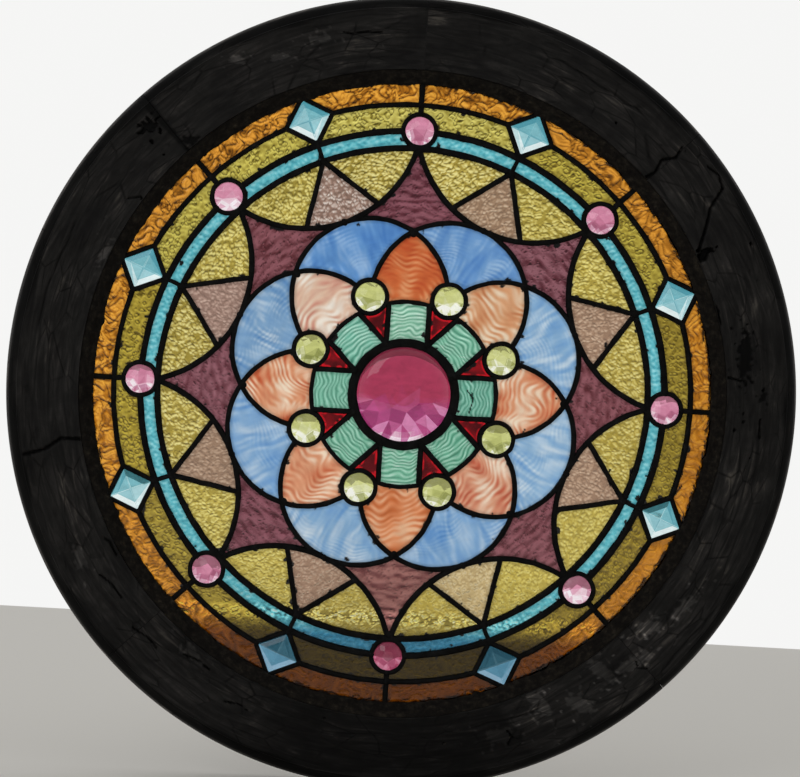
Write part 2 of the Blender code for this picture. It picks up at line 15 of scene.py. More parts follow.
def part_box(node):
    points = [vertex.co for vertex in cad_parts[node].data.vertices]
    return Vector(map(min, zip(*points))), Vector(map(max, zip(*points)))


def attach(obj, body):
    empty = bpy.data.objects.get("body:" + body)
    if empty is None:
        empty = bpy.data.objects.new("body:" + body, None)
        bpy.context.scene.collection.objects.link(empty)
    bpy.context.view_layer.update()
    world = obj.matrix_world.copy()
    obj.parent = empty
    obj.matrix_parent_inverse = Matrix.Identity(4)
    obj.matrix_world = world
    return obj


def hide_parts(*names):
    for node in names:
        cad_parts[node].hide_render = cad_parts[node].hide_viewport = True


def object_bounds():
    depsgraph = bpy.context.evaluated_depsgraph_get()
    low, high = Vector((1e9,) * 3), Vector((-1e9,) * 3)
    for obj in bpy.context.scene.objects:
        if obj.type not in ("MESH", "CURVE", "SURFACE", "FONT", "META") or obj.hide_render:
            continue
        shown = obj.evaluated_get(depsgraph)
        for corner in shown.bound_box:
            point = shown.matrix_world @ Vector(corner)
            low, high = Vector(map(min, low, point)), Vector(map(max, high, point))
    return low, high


bl_info = {
    "name": "Round leaded window",
    "version": (1, 0, 0),
    "blender": (4, 5, 0),
    "location": "View3D > Sidebar > Leaded window",
    "description": "Builds the glass, lead, putty and wood of a round leaded window",
    "category": "Add Mesh",
}

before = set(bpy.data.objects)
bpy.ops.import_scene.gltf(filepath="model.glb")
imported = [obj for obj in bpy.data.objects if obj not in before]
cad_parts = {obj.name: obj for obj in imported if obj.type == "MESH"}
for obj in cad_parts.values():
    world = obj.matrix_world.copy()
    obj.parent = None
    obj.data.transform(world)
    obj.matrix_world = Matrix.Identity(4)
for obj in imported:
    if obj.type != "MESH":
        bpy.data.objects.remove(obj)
CAD_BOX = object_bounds()
LEAD_LOW, LEAD_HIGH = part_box("lead_came")
RING_LOW, RING_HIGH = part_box("amber_ring")
JEWEL_LOW, JEWEL_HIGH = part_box("centre_jewel")
SMALL_LOW, SMALL_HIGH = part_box("lime_jewel_1")

# Pattern, which repeats eight times
REPEATS = 8
STEP_ANGLE = 360.0 / REPEATS
HALF_STEP = STEP_ANGLE / 2
MIDDLE = Vector((0.0, 0.0))
ARC_SAG = 0.00006
CENTRE_HEIGHT = (LEAD_LOW.z + LEAD_HIGH.z) / 2

# Flower in the middle
CENTRE_JEWEL_RADIUS = 0.0423
JEWEL_RING_WIDTH = 0.0081
GREEN_PANE_LENGTH = 0.0311
GREEN_BAR_OFFSET = 0.0184
GREEN_BAR_WIDTH = 0.0047
GREEN_RING_WIDTH = 0.0038
LIME_JEWEL_RADIUS = 0.0131
LIME_JEWEL_STANDOFF = 0.0098
ROSETTE_EASE = 0.0009
ROSETTE_WIDTH = 0.0043

# Fan of arches around the flower
FAN_WIDTH = 0.0577
FAN_BAR_ANGLE = 33.5
FAN_BAR_WIDTH = 0.0045
FAN_RING_WIDTH = 0.0054
ARCH_WIDTH = 0.0048
ARCH_OVERRUN = 0.0035

# Bands around the fan
TURQUOISE_BAND_WIDTH = 0.0152
TURQUOISE_RING_WIDTH = 0.0056
OLIVE_BAND_WIDTH = 0.0238
OLIVE_RING_WIDTH = 0.0044
AMBER_BAND_WIDTH = 0.0202
SHORT_BAR_WIDTH = 0.0038
SPOKE_WIDTH = 0.0048
PINK_JEWEL_RADIUS = 0.0128
PINK_JEWEL_STANDOFF = 0.0005
SQUARE_JEWEL_SIDE = 0.0269
SQUARE_JEWEL_SETBACK = 0.0009
SMALL_JEWEL_WIDTH = 0.0042
RIM_REACH = 0.0089

# How far glass reaches under the lead, and the most that a red wedge's opening can widen below its face
GLASS_TUCK = 0.0010
RED_REACH = 0.0008

# Radii that follow, from the middle outwards
JEWEL_RING_OUTER = CENTRE_JEWEL_RADIUS + JEWEL_RING_WIDTH
GREEN_RING_RADIUS = JEWEL_RING_OUTER + GREEN_PANE_LENGTH + GREEN_RING_WIDTH / 2
LIME_JEWEL_PLACE = GREEN_RING_RADIUS + LIME_JEWEL_STANDOFF
ROSETTE_RADIUS = 2 * LIME_JEWEL_PLACE * math.sin(math.radians(HALF_STEP)) - ROSETTE_EASE
ROSETTE_REACH = LIME_JEWEL_PLACE + ROSETTE_RADIUS
FAN_RING_RADIUS = ROSETTE_REACH + FAN_WIDTH
TURQUOISE_RING_RADIUS = FAN_RING_RADIUS + TURQUOISE_BAND_WIDTH
PINK_JEWEL_PLACE = TURQUOISE_RING_RADIUS + PINK_JEWEL_STANDOFF
OLIVE_RING_RADIUS = TURQUOISE_RING_RADIUS + OLIVE_BAND_WIDTH
SQUARE_JEWEL_PLACE = OLIVE_RING_RADIUS - SQUARE_JEWEL_SETBACK
SQUARE_HALF_SIDE = SQUARE_JEWEL_SIDE / 2
SQUARE_CORNER = SQUARE_HALF_SIDE * math.sqrt(2.0)
RIM_RADIUS = OLIVE_RING_RADIUS + AMBER_BAND_WIDTH
LEAD_OUTER_RADIUS = RIM_RADIUS + RIM_REACH
REBATE_RADIUS = LEAD_OUTER_RADIUS + 0.0006
LEDGE_RADIUS = REBATE_RADIUS - 0.0090
FRAME_FACE_RADIUS = REBATE_RADIUS + 0.0550
FRAME_OUTER_RADIUS = CAD_BOX[1].x
ARCH_MEETING = FAN_RING_RADIUS + ARCH_OVERRUN
ARCH_SLACK = ARCH_MEETING * math.cos(math.radians(HALF_STEP)) - ROSETTE_REACH
ARCH_PLACE = (ARCH_MEETING**2 - ROSETTE_REACH**2) / (2 * ARCH_SLACK)
ARCH_RADIUS = ARCH_PLACE - ROSETTE_REACH

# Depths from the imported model
FRAME_DEPTH = -CAD_BOX[0].y
LEAD_FRONT = LEAD_LOW.y
GLASS_FRONT = RING_LOW.y
GLASS_BACK = RING_HIGH.y
PANEL_MIDDLE = (JEWEL_LOW.y + JEWEL_HIGH.y) / 2
FLOOR_HEIGHT = CAD_BOX[0].z


# Points and edges of the pattern


def polar(radius, angle):
    """Point at a radius and an angle."""
    turn = math.radians(angle)
    return Vector((radius * math.sin(turn), radius * math.cos(turn)))


def turned(point, angle):
    """Point turned clockwise about the middle of the window."""
    turn = math.radians(angle)
    across = point.x * math.cos(turn) + point.y * math.sin(turn)
    up = point.y * math.cos(turn) - point.x * math.sin(turn)
    return Vector((across, up))


class Arc:
    """Edge of glass along a circular came, with the glass inside or outside the circle."""

    def __init__(self, centre, radius, width=0.0, glass_inside=True):
        self.centre = centre
        self.radius = radius
        self.half = width / 2
        self.side = 1 if glass_inside else -1

    def glass_radius(self, gap):
        return self.radius - self.side * (self.half + gap)

    def bearing(self, point):
        across = point - self.centre
        return math.atan2(across.y, across.x)

    def sweep(self, start, stop):
        swing = (self.bearing(stop) - self.bearing(start)) % math.tau
        return swing if swing <= math.pi else swing - math.tau

    def steps(self, start, stop):
        chord = 2 * math.acos(1 - ARC_SAG / self.radius)
        return max(1, math.ceil(abs(self.sweep(start, stop)) / chord))

    def run(self, start, stop, gap, steps):
        first = self.bearing(start)
        swing = self.sweep(start, stop)
        turns = [first + swing * step / steps for step in range(steps)]
        radius = self.glass_radius(gap)
        return [self.centre + radius * Vector((math.cos(turn), math.sin(turn))) for turn in turns]


class Bar:
    """Edge of glass along a straight came, with the glass on the side that toward points to."""

    def __init__(self, point, toward, width=0.0):
        self.point = point
        self.toward = toward.normalized()
        self.half = width / 2

    def glass_point(self, gap):
        return self.point + self.toward * (self.half + gap)

    def steps(self, start, stop):
        return max(1, math.ceil((stop - start).length / 0.008))

    def run(self, start, stop, gap, steps):
        return [start.lerp(stop, step / steps) for step in range(steps)]


def line_circle(bar, arc, gap):
    """Points where a bar's glass edge crosses an arc's glass edge."""
    along = Vector((bar.toward.y, -bar.toward.x))
    point = bar.glass_point(gap)
    foot = point + along * (arc.centre - point).dot(along)
    reach = math.sqrt(max(0.0, arc.glass_radius(gap) ** 2 - (foot - arc.centre).length_squared))
    return [foot + along * reach, foot - along * reach]


def circle_circle(first, second, gap):
    """Points where the glass edges of two arcs cross."""
    between = second.centre - first.centre
    distance = between.length
    reach_first = first.glass_radius(gap)
    along = (distance**2 + reach_first**2 - second.glass_radius(gap) ** 2) / (2 * distance)
    aside = math.sqrt(max(0.0, reach_first**2 - along**2))
    unit = between / distance
    across = Vector((-unit.y, unit.x))
    foot = first.centre + unit * along
    return [foot + across * aside, foot - across * aside]


def line_line(first, second, gap):
    """Point where the glass edges of two bars cross."""
    start = first.glass_point(gap)
    along = Vector((first.toward.y, -first.toward.x))
    distance = (second.glass_point(gap) - start).dot(second.toward) / along.dot(second.toward)
    return [start + along * distance]


def corner(first, second, gap, near):
    """Crossing of two glass edges that lies nearest to a point."""
    if isinstance(first, Bar) and isinstance(second, Bar):
        crossings = line_line(first, second, gap)
    elif isinstance(first, Bar):
        crossings = line_circle(first, second, gap)
    elif isinstance(second, Bar):
        crossings = line_circle(second, first, gap)
    else:
        crossings = circle_circle(first, second, gap)
    return min(crossings, key=lambda point: (point - near).length)


def pane_outline(edges, middle, gap):
    """Outline of one pane, with as many points whatever the gap."""
    nominal = [corner(edges[index - 1], edge, 0.0, middle) for index, edge in enumerate(edges)]
    placed = [corner(edges[index - 1], edge, gap, middle) for index, edge in enumerate(edges)]
    points = []
    for index, edge in enumerate(edges):
        after = (index + 1) % len(edges)
        points += edge.run(placed[index], placed[after], gap, edge.steps(nominal[index], nominal[after]))
    return points


def ring_points(centre, radius, sides, first_angle):
    """Corners of a regular polygon."""
    return [centre + polar(radius, first_angle + 360.0 * side / sides) for side in range(sides)]


# Edges of the lead pattern, each with the glass on a stated side


def ring_edge(radius, width, glass_inside):
    return Arc(MIDDLE, radius, width, glass_inside)


def rosette_edge(angle, glass_inside):
    return Arc(polar(LIME_JEWEL_PLACE, angle), ROSETTE_RADIUS, ROSETTE_WIDTH, glass_inside)


def arch_edge(angle, glass_inside):
    return Arc(polar(ARCH_PLACE, angle), ARCH_RADIUS, ARCH_WIDTH, glass_inside)


def jewel_edge(place, angle, jewel_radius):
    return Arc(polar(place, angle), jewel_radius + SMALL_JEWEL_WIDTH / 2, SMALL_JEWEL_WIDTH, False)


def lime_edge(angle):
    return jewel_edge(LIME_JEWEL_PLACE, angle, LIME_JEWEL_RADIUS)


def pink_edge(angle):
    return jewel_edge(PINK_JEWEL_PLACE, angle, PINK_JEWEL_RADIUS)


def square_came(outward):
    """Came along the anticlockwise side of the square jewel on the half step axis."""
    out = polar(1.0, HALF_STEP)
    around = polar(1.0, HALF_STEP + 90.0)
    toward = (out * outward - around).normalized()
    reach = SQUARE_HALF_SIDE + SMALL_JEWEL_WIDTH / 2
    return Bar(out * SQUARE_JEWEL_PLACE + toward * reach, toward, SMALL_JEWEL_WIDTH)


def green_bar(angle, side, pane_side):
    """Bar beside a green pane, with the green pane or the red one beyond it."""
    across = polar(1.0, angle + 90.0) * side
    return Bar(across * GREEN_BAR_OFFSET, across * pane_side, GREEN_BAR_WIDTH)


def fan_bar(side, pane_side):
    """Slanted bar of the fan, from the fan ring at the half step axis to the arch."""
    apex = polar(FAN_RING_RADIUS, HALF_STEP)
    across = polar(1.0, HALF_STEP + 90.0 - side * FAN_BAR_ANGLE)
    return Bar(apex, across * pane_side, FAN_BAR_WIDTH)


# Panes in the first repeat, each as edges in order and a point in its middle


def green_pane():
    middle = polar((JEWEL_RING_OUTER + GREEN_RING_RADIUS) / 2, 0.0)
    inner = ring_edge(JEWEL_RING_OUTER - JEWEL_RING_WIDTH / 2, JEWEL_RING_WIDTH, False)
    outer = ring_edge(GREEN_RING_RADIUS, GREEN_RING_WIDTH, True)
    return [inner, green_bar(0.0, 1, -1), outer, green_bar(0.0, -1, -1)], middle


def red_pane():
    middle = polar((JEWEL_RING_OUTER + LIME_JEWEL_PLACE) / 2, HALF_STEP)
    return [green_bar(0.0, 1, 1), green_bar(STEP_ANGLE, -1, 1), lime_edge(HALF_STEP)], middle


def orange_petal():
    middle = polar(LIME_JEWEL_PLACE + ROSETTE_RADIUS / 3, 0.0)
    inner = ring_edge(GREEN_RING_RADIUS, GREEN_RING_WIDTH, False)
    left = rosette_edge(HALF_STEP, True)
    right = rosette_edge(-HALF_STEP, True)
    return [left, right, lime_edge(HALF_STEP), inner, lime_edge(-HALF_STEP)], middle


def blue_petal():
    middle = polar(LIME_JEWEL_PLACE + ROSETTE_RADIUS * 2 / 3, HALF_STEP)
    outer = rosette_edge(HALF_STEP, True)
    left = rosette_edge(-HALF_STEP, False)
    right = rosette_edge(HALF_STEP + STEP_ANGLE, False)
    return [outer, right, lime_edge(HALF_STEP), left], middle


def purple_star():
    middle = polar(LIME_JEWEL_PLACE + ROSETTE_RADIUS * 5 / 4, 0.0)
    arches = [arch_edge(-HALF_STEP, False), arch_edge(HALF_STEP, False)]
    return [*arches, rosette_edge(HALF_STEP, False), rosette_edge(-HALF_STEP, False)], middle


def mauve_pane():
    middle = polar(FAN_RING_RADIUS - ARCH_RADIUS / 3, HALF_STEP)
    return [fan_bar(1, -1), arch_edge(HALF_STEP, True), fan_bar(-1, 1)], middle


def yellow_pane():
    middle = polar(FAN_RING_RADIUS - ARCH_RADIUS / 6, HALF_STEP / 2)
    outer = ring_edge(FAN_RING_RADIUS, FAN_RING_WIDTH, True)
    return [outer, fan_bar(-1, -1), arch_edge(HALF_STEP, True)], middle


def turquoise_strip():
    middle = polar((FAN_RING_RADIUS + TURQUOISE_RING_RADIUS) / 2, HALF_STEP * 0.6)
    inner = ring_edge(FAN_RING_RADIUS, FAN_RING_WIDTH, False)
    outer = ring_edge(TURQUOISE_RING_RADIUS, TURQUOISE_RING_WIDTH, True)
    short_bar = Bar(MIDDLE, polar(-1.0, HALF_STEP + 90.0), SHORT_BAR_WIDTH)
    return [inner, short_bar, outer, pink_edge(0.0)], middle


def olive_pane():
    middle = polar((TURQUOISE_RING_RADIUS + OLIVE_RING_RADIUS) / 2, HALF_STEP / 2)
    inner = ring_edge(TURQUOISE_RING_RADIUS, TURQUOISE_RING_WIDTH, False)
    outer = ring_edge(OLIVE_RING_RADIUS, OLIVE_RING_WIDTH, True)
    spoke = Bar(MIDDLE, polar(1.0, 90.0), SPOKE_WIDTH)
    return [inner, square_came(-1), outer, spoke, pink_edge(0.0)], middle


def amber_pane(rim=RIM_RADIUS):
    middle = polar((OLIVE_RING_RADIUS + RIM_RADIUS) / 2, HALF_STEP / 2)
    inner = ring_edge(OLIVE_RING_RADIUS, OLIVE_RING_WIDTH, False)
    spoke = Bar(MIDDLE, polar(1.0, 90.0), SPOKE_WIDTH)
    return [inner, square_came(1), ring_edge(rim, 0.0, True), spoke], middle


def mirrored(points):
    """Outline mirrored left to right, still running the same way round."""
    return [Vector((-point.x, point.y)) for point in reversed(points)]


def lead_openings(gap, rim=RIM_RADIUS):
    """Outlines of all the openings in the lead, each narrower by the gap."""
    corner_gap = gap * math.sqrt(2.0)
    period = [
        ring_points(polar(LIME_JEWEL_PLACE, HALF_STEP), LIME_JEWEL_RADIUS - gap, 36, 0.0),
        ring_points(polar(PINK_JEWEL_PLACE, 0.0), PINK_JEWEL_RADIUS - gap, 36, 0.0),
        ring_points(polar(SQUARE_JEWEL_PLACE, HALF_STEP), SQUARE_CORNER - corner_gap, 4, HALF_STEP),
    ]
    period.append(pane_outline(*red_pane(), max(gap, -RED_REACH)))
    for pane in (green_pane, orange_petal, blue_petal, purple_star, mauve_pane):
        period.append(pane_outline(*pane(), gap))
    for pane in (yellow_pane(), turquoise_strip(), olive_pane(), amber_pane(rim)):
        outline = pane_outline(*pane, gap)
        period += [outline, mirrored(outline)]
    openings = [ring_points(MIDDLE, CENTRE_JEWEL_RADIUS - gap, 72, 0.0)]
    for count in range(REPEATS):
        openings += [[turned(point, STEP_ANGLE * count) for point in outline] for outline in period]
    return openings


# Materials


def linear(hex_colour):
    """Linear colour of an sRGB hex value."""
    parts = [int(hex_colour[start : start + 2], 16) / 255 for start in (1, 3, 5)]
    return tuple(part / 12.92 if part <= 0.04045 else ((part + 0.055) / 1.055) ** 2.4 for part in parts)


def add_node(tree, kind, settings=(), links=()):
    """Adds a node, sets its properties and sockets, and links its sockets from others."""
    node = tree.nodes.new(kind)
    for name, value in dict(settings).items():
        if name in node.inputs:
            node.inputs[name].default_value = value
        else:
            setattr(node, name, value)
    for name, socket in dict(links).items():
        tree.links.new(socket, node.inputs[name])
    return node


def attribute(tree, name, output="Vector"):
    return add_node(tree, "ShaderNodeAttribute", {"attribute_name": name}).outputs[output]


def stretched(tree, vector, along):
    """Place with its first axis scaled, so that a texture is drawn out along it."""
    settings = {"Scale": (along, 1.0, 1.0)}
    return add_node(tree, "ShaderNodeMapping", settings, {"Vector": vector}).outputs["Vector"]


def clouds(tree, vector, scale, detail, roughness=0.5, distortion=0.0):
    settings = {"Scale": scale, "Detail": detail, "Roughness": roughness, "Distortion": distortion}
    return add_node(tree, "ShaderNodeTexNoise", settings, {"Vector": vector}).outputs["Fac"]


def ranged(tree, value, first, last, low, high):
    """Value carried from one range to another."""
    settings = {"From Min": first, "From Max": last, "To Min": low, "To Max": high}
    return add_node(tree, "ShaderNodeMapRange", settings, {"Value": value}).outputs["Result"]


def combined(tree, operation, first, second):
    return add_node(tree, "ShaderNodeMath", {"operation": operation}, {0: first, 1: second}).outputs["Value"]


def scaled(tree, colour, strength):
    links = {"Vector": colour, "Scale": strength}
    return add_node(tree, "ShaderNodeVectorMath", {"operation": "SCALE"}, links).outputs["Vector"]


def skin_cracks(tree, vector, scale, width, dark):
    """Thin lines round the cells of a cracked skin: dark along them, and 1 between them."""
    settings = {"feature": "DISTANCE_TO_EDGE", "Scale": scale, "Randomness": 1.0}
    cells = add_node(tree, "ShaderNodeTexVoronoi", settings, {"Vector": vector})
    return ranged(tree, cells.outputs["Distance"], 0.0, width, dark, 1.0)


def colour_ramp(tree, value, stops):
    node = add_node(tree, "ShaderNodeValToRGB", links={"Fac": value})
    for index, (position, colour) in enumerate(stops):
        if index < 2:
            stop = node.color_ramp.elements[index]
            stop.position = position
        else:
            stop = node.color_ramp.elements.new(position)
        stop.color = (*linear(colour), 1.0)
    return node.outputs["Color"]


def bumped(tree, height, strength, distance):
    settings = {"Strength": strength, "Distance": distance}
    return add_node(tree, "ShaderNodeBump", settings, {"Height": height}).outputs["Normal"]


def new_tree(name):
    """New node material and its tree, with only the output left."""
    material = bpy.data.materials.new(name)
    material.use_nodes = True
    tree = material.node_tree
    tree.nodes.remove(tree.nodes["Principled BSDF"])
    return material, tree


def finish_tree(tree, settings, links=()):
    """Adds the shader and links it to the output."""
    shader = add_node(tree, "ShaderNodeBsdfPrincipled", settings, links)
    tree.links.new(shader.outputs["BSDF"], tree.nodes["Material Output"].inputs["Surface"])


def glass_material(name, roughness, streak, streak_size, bump_size, bump):
    """Coloured glass. Its colour, with the light and shade of its relief, is in the tint attribute.

    Streaks and the finest grain follow the run attribute, which is metres along and across the pane.
    """
    material, tree = new_tree(name)
    run = attribute(tree, "run")
    cloud = clouds(tree, stretched(tree, run, 0.45), 1 / streak_size, 4.0, 0.65, 0.6)
    streaks = ranged(tree, cloud, 0.3, 0.7, 1 - streak, 1 + streak * 0.8)
    colour = scaled(tree, attribute(tree, "tint"), streaks)
    capped = add_node(tree, "ShaderNodeVectorMath", {"operation": "MINIMUM"}, {0: colour})
    capped.inputs[1].default_value = (0.98, 0.98, 0.98)
    grain = clouds(tree, run, 1 / bump_size, 2.0)
    finish_tree(
        tree,
        {"Roughness": roughness, "IOR": 1.52, "Transmission Weight": 1.0},
        {"Base Color": capped.outputs["Vector"], "Normal": bumped(tree, grain, bump, 0.0003)},
    )
    return material


def paint_material():
    """Old oil paint on hardwood: almost black, dull, crazed, and worn through to grey in places."""
    material, tree = new_tree("old_oil_paint_on_hardwood")
    run = attribute(tree, "run")
    grain = clouds(tree, stretched(tree, run, 0.12), 200.0, 4.0, 0.5, 1.2)
    patches = clouds(tree, run, 21.0, 7.0, 0.7, 0.5)
    mixed = combined(tree, "MULTIPLY", grain, patches)
    stops = [(0.14, "#171616"), (0.25, "#232221"), (0.34, "#302E2D"), (0.45, "#524E49")]
    wear_and_rim_highlight = colour_ramp(tree, mixed, stops)
    # Crazing of the paint skin, in flakes about 14 mm wide, which shows only where the skin is thin
    cracks = skin_cracks(tree, stretched(tree, run, 0.35), 70.0, 0.035, 0.3)
    whole = ranged(tree, patches, 0.45, 0.62, 1.0, 0.0)
    shown = combined(tree, "MAXIMUM", cracks, whole)
    shade = scaled(tree, wear_and_rim_highlight, combined(tree, "MULTIPLY", shown, attribute(tree, "relief", "Fac")))
    sheen = ranged(tree, patches, 0.3, 0.7, 0.45, 0.85)
    height = combined(tree, "MULTIPLY", mixed, shown)
    finish_tree(
        tree,
        {"IOR": 1.47, "Specular IOR Level": 0.12},
        {"Base Color": shade, "Roughness": sheen, "Normal": bumped(tree, height, 0.7, 0.0012)},
    )
    return material


def putty_material():
    """Linseed glazing putty, knifed in and weathered: dry brown, grimy, faintly cracked and crumbly."""
    material, tree = new_tree("weathered_linseed_putty")
    place = add_node(tree, "ShaderNodeTexCoord").outputs["Object"]
    lumps = clouds(tree, place, 160.0, 6.0, 0.7)
    stops = [(0.3, "#0D0B0A"), (0.5, "#1B1815"), (0.62, "#2A2620"), (0.75, "#464036")]
    colour = colour_ramp(tree, lumps, stops)
    cracks = skin_cracks(tree, place, 75.0, 0.03, 0.72)
    height = combined(tree, "MULTIPLY", lumps, cracks)
    finish_tree(
        tree,
        {"Roughness": 0.92, "IOR": 1.45, "Specular IOR Level": 0.15},
        {"Base Color": scaled(tree, colour, cracks), "Normal": bumped(tree, height, 0.8, 0.0008)},
    )
    return material


def lead_material():
    """Milled lead came gone dark with age: near black, dull, with a grey gleam where it was rubbed."""
    material, tree = new_tree("tarnished_lead_came")
    place = add_node(tree, "ShaderNodeTexCoord").outputs["Object"]
    tarnish = clouds(tree, place, 120.0, 6.0, 0.65)
    stops = [(0.3, "#040404"), (0.5, "#090909"), (0.66, "#121213"), (0.8, "#2C2D30")]
    colour = colour_ramp(tree, tarnish, stops)
    dull = ranged(tree, tarnish, 0.3, 0.75, 0.85, 0.55)
    finish_tree(
        tree,
        {"Metallic": 0.35, "Specular IOR Level": 0.25},
        {"Base Color": colour, "Roughness": dull, "Normal": bumped(tree, tarnish, 0.5, 0.0004)},
    )
    return material


# Meshes


def only(*things):
    """Selects these objects and nothing else, and makes the first one active."""
    bpy.ops.object.select_all(action="DESELECT")
    for thing in things:
        thing.select_set(True)
    bpy.context.view_layer.objects.active = things[0]


def clean_up(thing, merge=0.000001):
    """Merges doubles and points all faces out."""
    only(thing)
    bpy.ops.object.mode_set(mode="EDIT")
    bpy.ops.mesh.select_all(action="SELECT")
    bpy.ops.mesh.remove_doubles(threshold=merge)
    bpy.ops.mesh.normals_make_consistent(inside=False)
    bpy.ops.object.mode_set(mode="OBJECT")


def smooth(thing, angle):
    """Smooth shading, with edges over the angle left sharp."""
    only(thing)
    bpy.ops.object.shade_smooth_by_angle(angle=math.radians(angle))


def prism(name, outline, front, back):
    """Upright solid between two depths from a flat outline, drawn as a filled curve."""
    drawing = bpy.data.curves.new(name, "CURVE")
    drawing.dimensions = "2D"
    drawing.fill_mode = "BOTH"
    drawing.extrude = (back - front) / 2
    spline = drawing.splines.new("POLY")
    spline.points.add(len(outline) - 1)
    for point, place in zip(spline.points, outline):
        point.co = (place.x, place.y, 0.0, 1.0)
    spline.use_cyclic_u = True
    thing = bpy.data.objects.new(name, drawing)
    bpy.context.scene.collection.objects.link(thing)
    only(thing)
    bpy.ops.object.convert(target="MESH")
    thing = bpy.context.view_layer.objects.active
    thing.rotation_euler = (math.pi / 2, 0.0, 0.0)
    thing.location = (0.0, (front + back) / 2, 0.0)
    bpy.ops.object.transform_apply(location=True, rotation=True, scale=True)
    clean_up(thing)
    return thing


def glass_slab(name, outline, spacing):
    """Pane drawn around the window's middle, with a fine grid on its front face.

    A grid is extruded to a slab of the glass's thickness and kept where it lies in the outline's prism.
    """
    low = Vector((min(point.x for point in outline), min(point.y for point in outline)))
    high = Vector((max(point.x for point in outline), max(point.y for point in outline)))
    size = high - low + Vector((spacing, spacing)) * 2
    bpy.ops.object.select_all(action="DESELECT")
    bpy.ops.mesh.primitive_grid_add(
        x_subdivisions=math.ceil(size.x / spacing),
        y_subdivisions=math.ceil(size.y / spacing),
        size=1.0,
        location=((low.x + high.x) / 2, GLASS_FRONT, (low.y + high.y) / 2),
        rotation=(math.pi / 2, 0.0, 0.0),
    )
    slab = bpy.context.view_layer.objects.active
    slab.name = name
    slab.scale = (size.x, size.y, 1.0)
    bpy.ops.object.transform_apply(location=True, rotation=True, scale=True)
    bpy.ops.object.mode_set(mode="EDIT")
    bpy.ops.mesh.select_mode(type="EDGE")
    bpy.ops.mesh.select_all(action="SELECT")
    bpy.ops.mesh.region_to_loop()
    bpy.ops.mesh.extrude_edges_move(TRANSFORM_OT_translate={"value": (0.0, GLASS_BACK - GLASS_FRONT, 0.0)})
    bpy.ops.mesh.edge_face_add()
    bpy.ops.mesh.select_all(action="SELECT")
    bpy.ops.mesh.normals_make_consistent(inside=False)
    bpy.ops.object.mode_set(mode="OBJECT")
    cutter = prism("pane_prism", outline, GLASS_FRONT - 0.002, GLASS_BACK + 0.002)
    only(slab)
    cut = slab.modifiers.new("Outline", "BOOLEAN")
    cut.operation = "INTERSECT"
    cut.solver = "EXACT"
    cut.object = cutter
    bpy.ops.object.modifier_apply(modifier=cut.name)
    bpy.data.objects.remove(cutter)
    clean_up(slab, 0.00002)
    return slab


def coordinates(mesh):
    points = np.empty(len(mesh.vertices) * 3, np.float32)
    mesh.vertices.foreach_get("co", points)
    return points.reshape(-1, 3).astype(float)


def set_coordinates(mesh, points):
    mesh.vertices.foreach_set("co", points.astype(np.float32).ravel())
    mesh.update()


def paint_points(mesh, run, relief, tint=None, domain="POINT"):
    """Stores run and relief on the mesh's points, and tint there or on its faces, for its material."""
    runs = mesh.attributes.new("run", "FLOAT_VECTOR", "POINT")
    runs.data.foreach_set("vector", np.asarray(run, np.float32).ravel())
    heights = mesh.attributes.new("relief", "FLOAT", "POINT")
    heights.data.foreach_set("value", np.asarray(relief, np.float32))
    if tint is not None:
        tints = mesh.attributes.new("tint", "FLOAT_COLOR", domain)
        tints.data.foreach_set("color", np.asarray(tint, np.float32).ravel())


# Noise vectors take their offsets from this seed, and from the clock if none is set
NOISE_SEED = 11


# Relief of each kind of glass, from 0 in the hollows to 1 on the crests


def rippled(along, out, seed):
    """Ripples that run along the pane, 3.6 mm apart, wander and break off."""
    wander = noise.noise(Vector((along / 0.011, out / 0.012, seed)))
    firm = 0.60 + 0.5 * noise.noise(Vector((along / 0.007, out / 0.004, seed + 3.0)))
    return 0.5 + 0.5 * firm * math.sin(math.tau * (out + 0.0048 * wander) / 0.0036)


def hammered(along, out, seed):
    """Round dimples pressed side by side, 3.4 mm across, on slow swells."""
    place = Vector((along / 0.0033, out / 0.0033, seed))
    nearest = noise.voronoi(place + noise.noise_vector(place * 0.6) * 0.7)[0][0]
    swell = 0.22 * noise.noise(Vector((along / 0.010, out / 0.010, seed)))
    return min(1.0, (nearest / 0.65) ** 2) * 0.8 + 0.1 + swell


def pebbled(along, out, seed):
    """Faint pebbles, 3 mm across, on wandering draws, with a few dark dots."""
    place = Vector((along / 0.0032, out / 0.0032, seed))
    nearest = noise.voronoi(place + noise.noise_vector(place * 0.7) * 0.9)[0][0]
    draws = noise.noise(Vector((along / 0.010, out / 0.004, seed)))
    return min(1.0, nearest / 0.38) * 0.6 + 0.15 + 0.45 * draws


def crackled(along, out, seed):
    """Crinkled swirls 7 mm wide, with sharp creases between them."""
    place = Vector((along / 0.0078, out / 0.0078, seed))
    bent = place + noise.noise_vector(place * 0.6) * 1.5
    crease = min(1.0, abs(noise.noise(bent)) * 2.6)
    fine = min(1.0, abs(noise.noise(bent * 2.1)) * 2.2)
    return 0.7 * crease + 0.3 * fine


def seedy(along, out, seed):
    """Ring-like bubbles 5 mm across on a mottled ground."""
    place = Vector((along / 0.0052, out / 0.0052, seed))
    nearest = noise.voronoi(place + noise.noise_vector(place * 0.8) * 0.5)[0][0]
    ring = 1.0 - min(1.0, abs(nearest - 0.40) / 0.17)
    mottle = 0.5 + 0.5 * noise.noise(Vector((along / 0.0035, out / 0.0035, seed)))
    return 0.5 * mottle + 0.5 * (1.0 - ring)


def granite(along, out, seed):
    """Fine even grain, drawn at 3 mm so that the mesh can hold it."""
    return 0.5 + 0.9 * noise.noise(Vector((along / 0.0030, out / 0.0030, seed)))


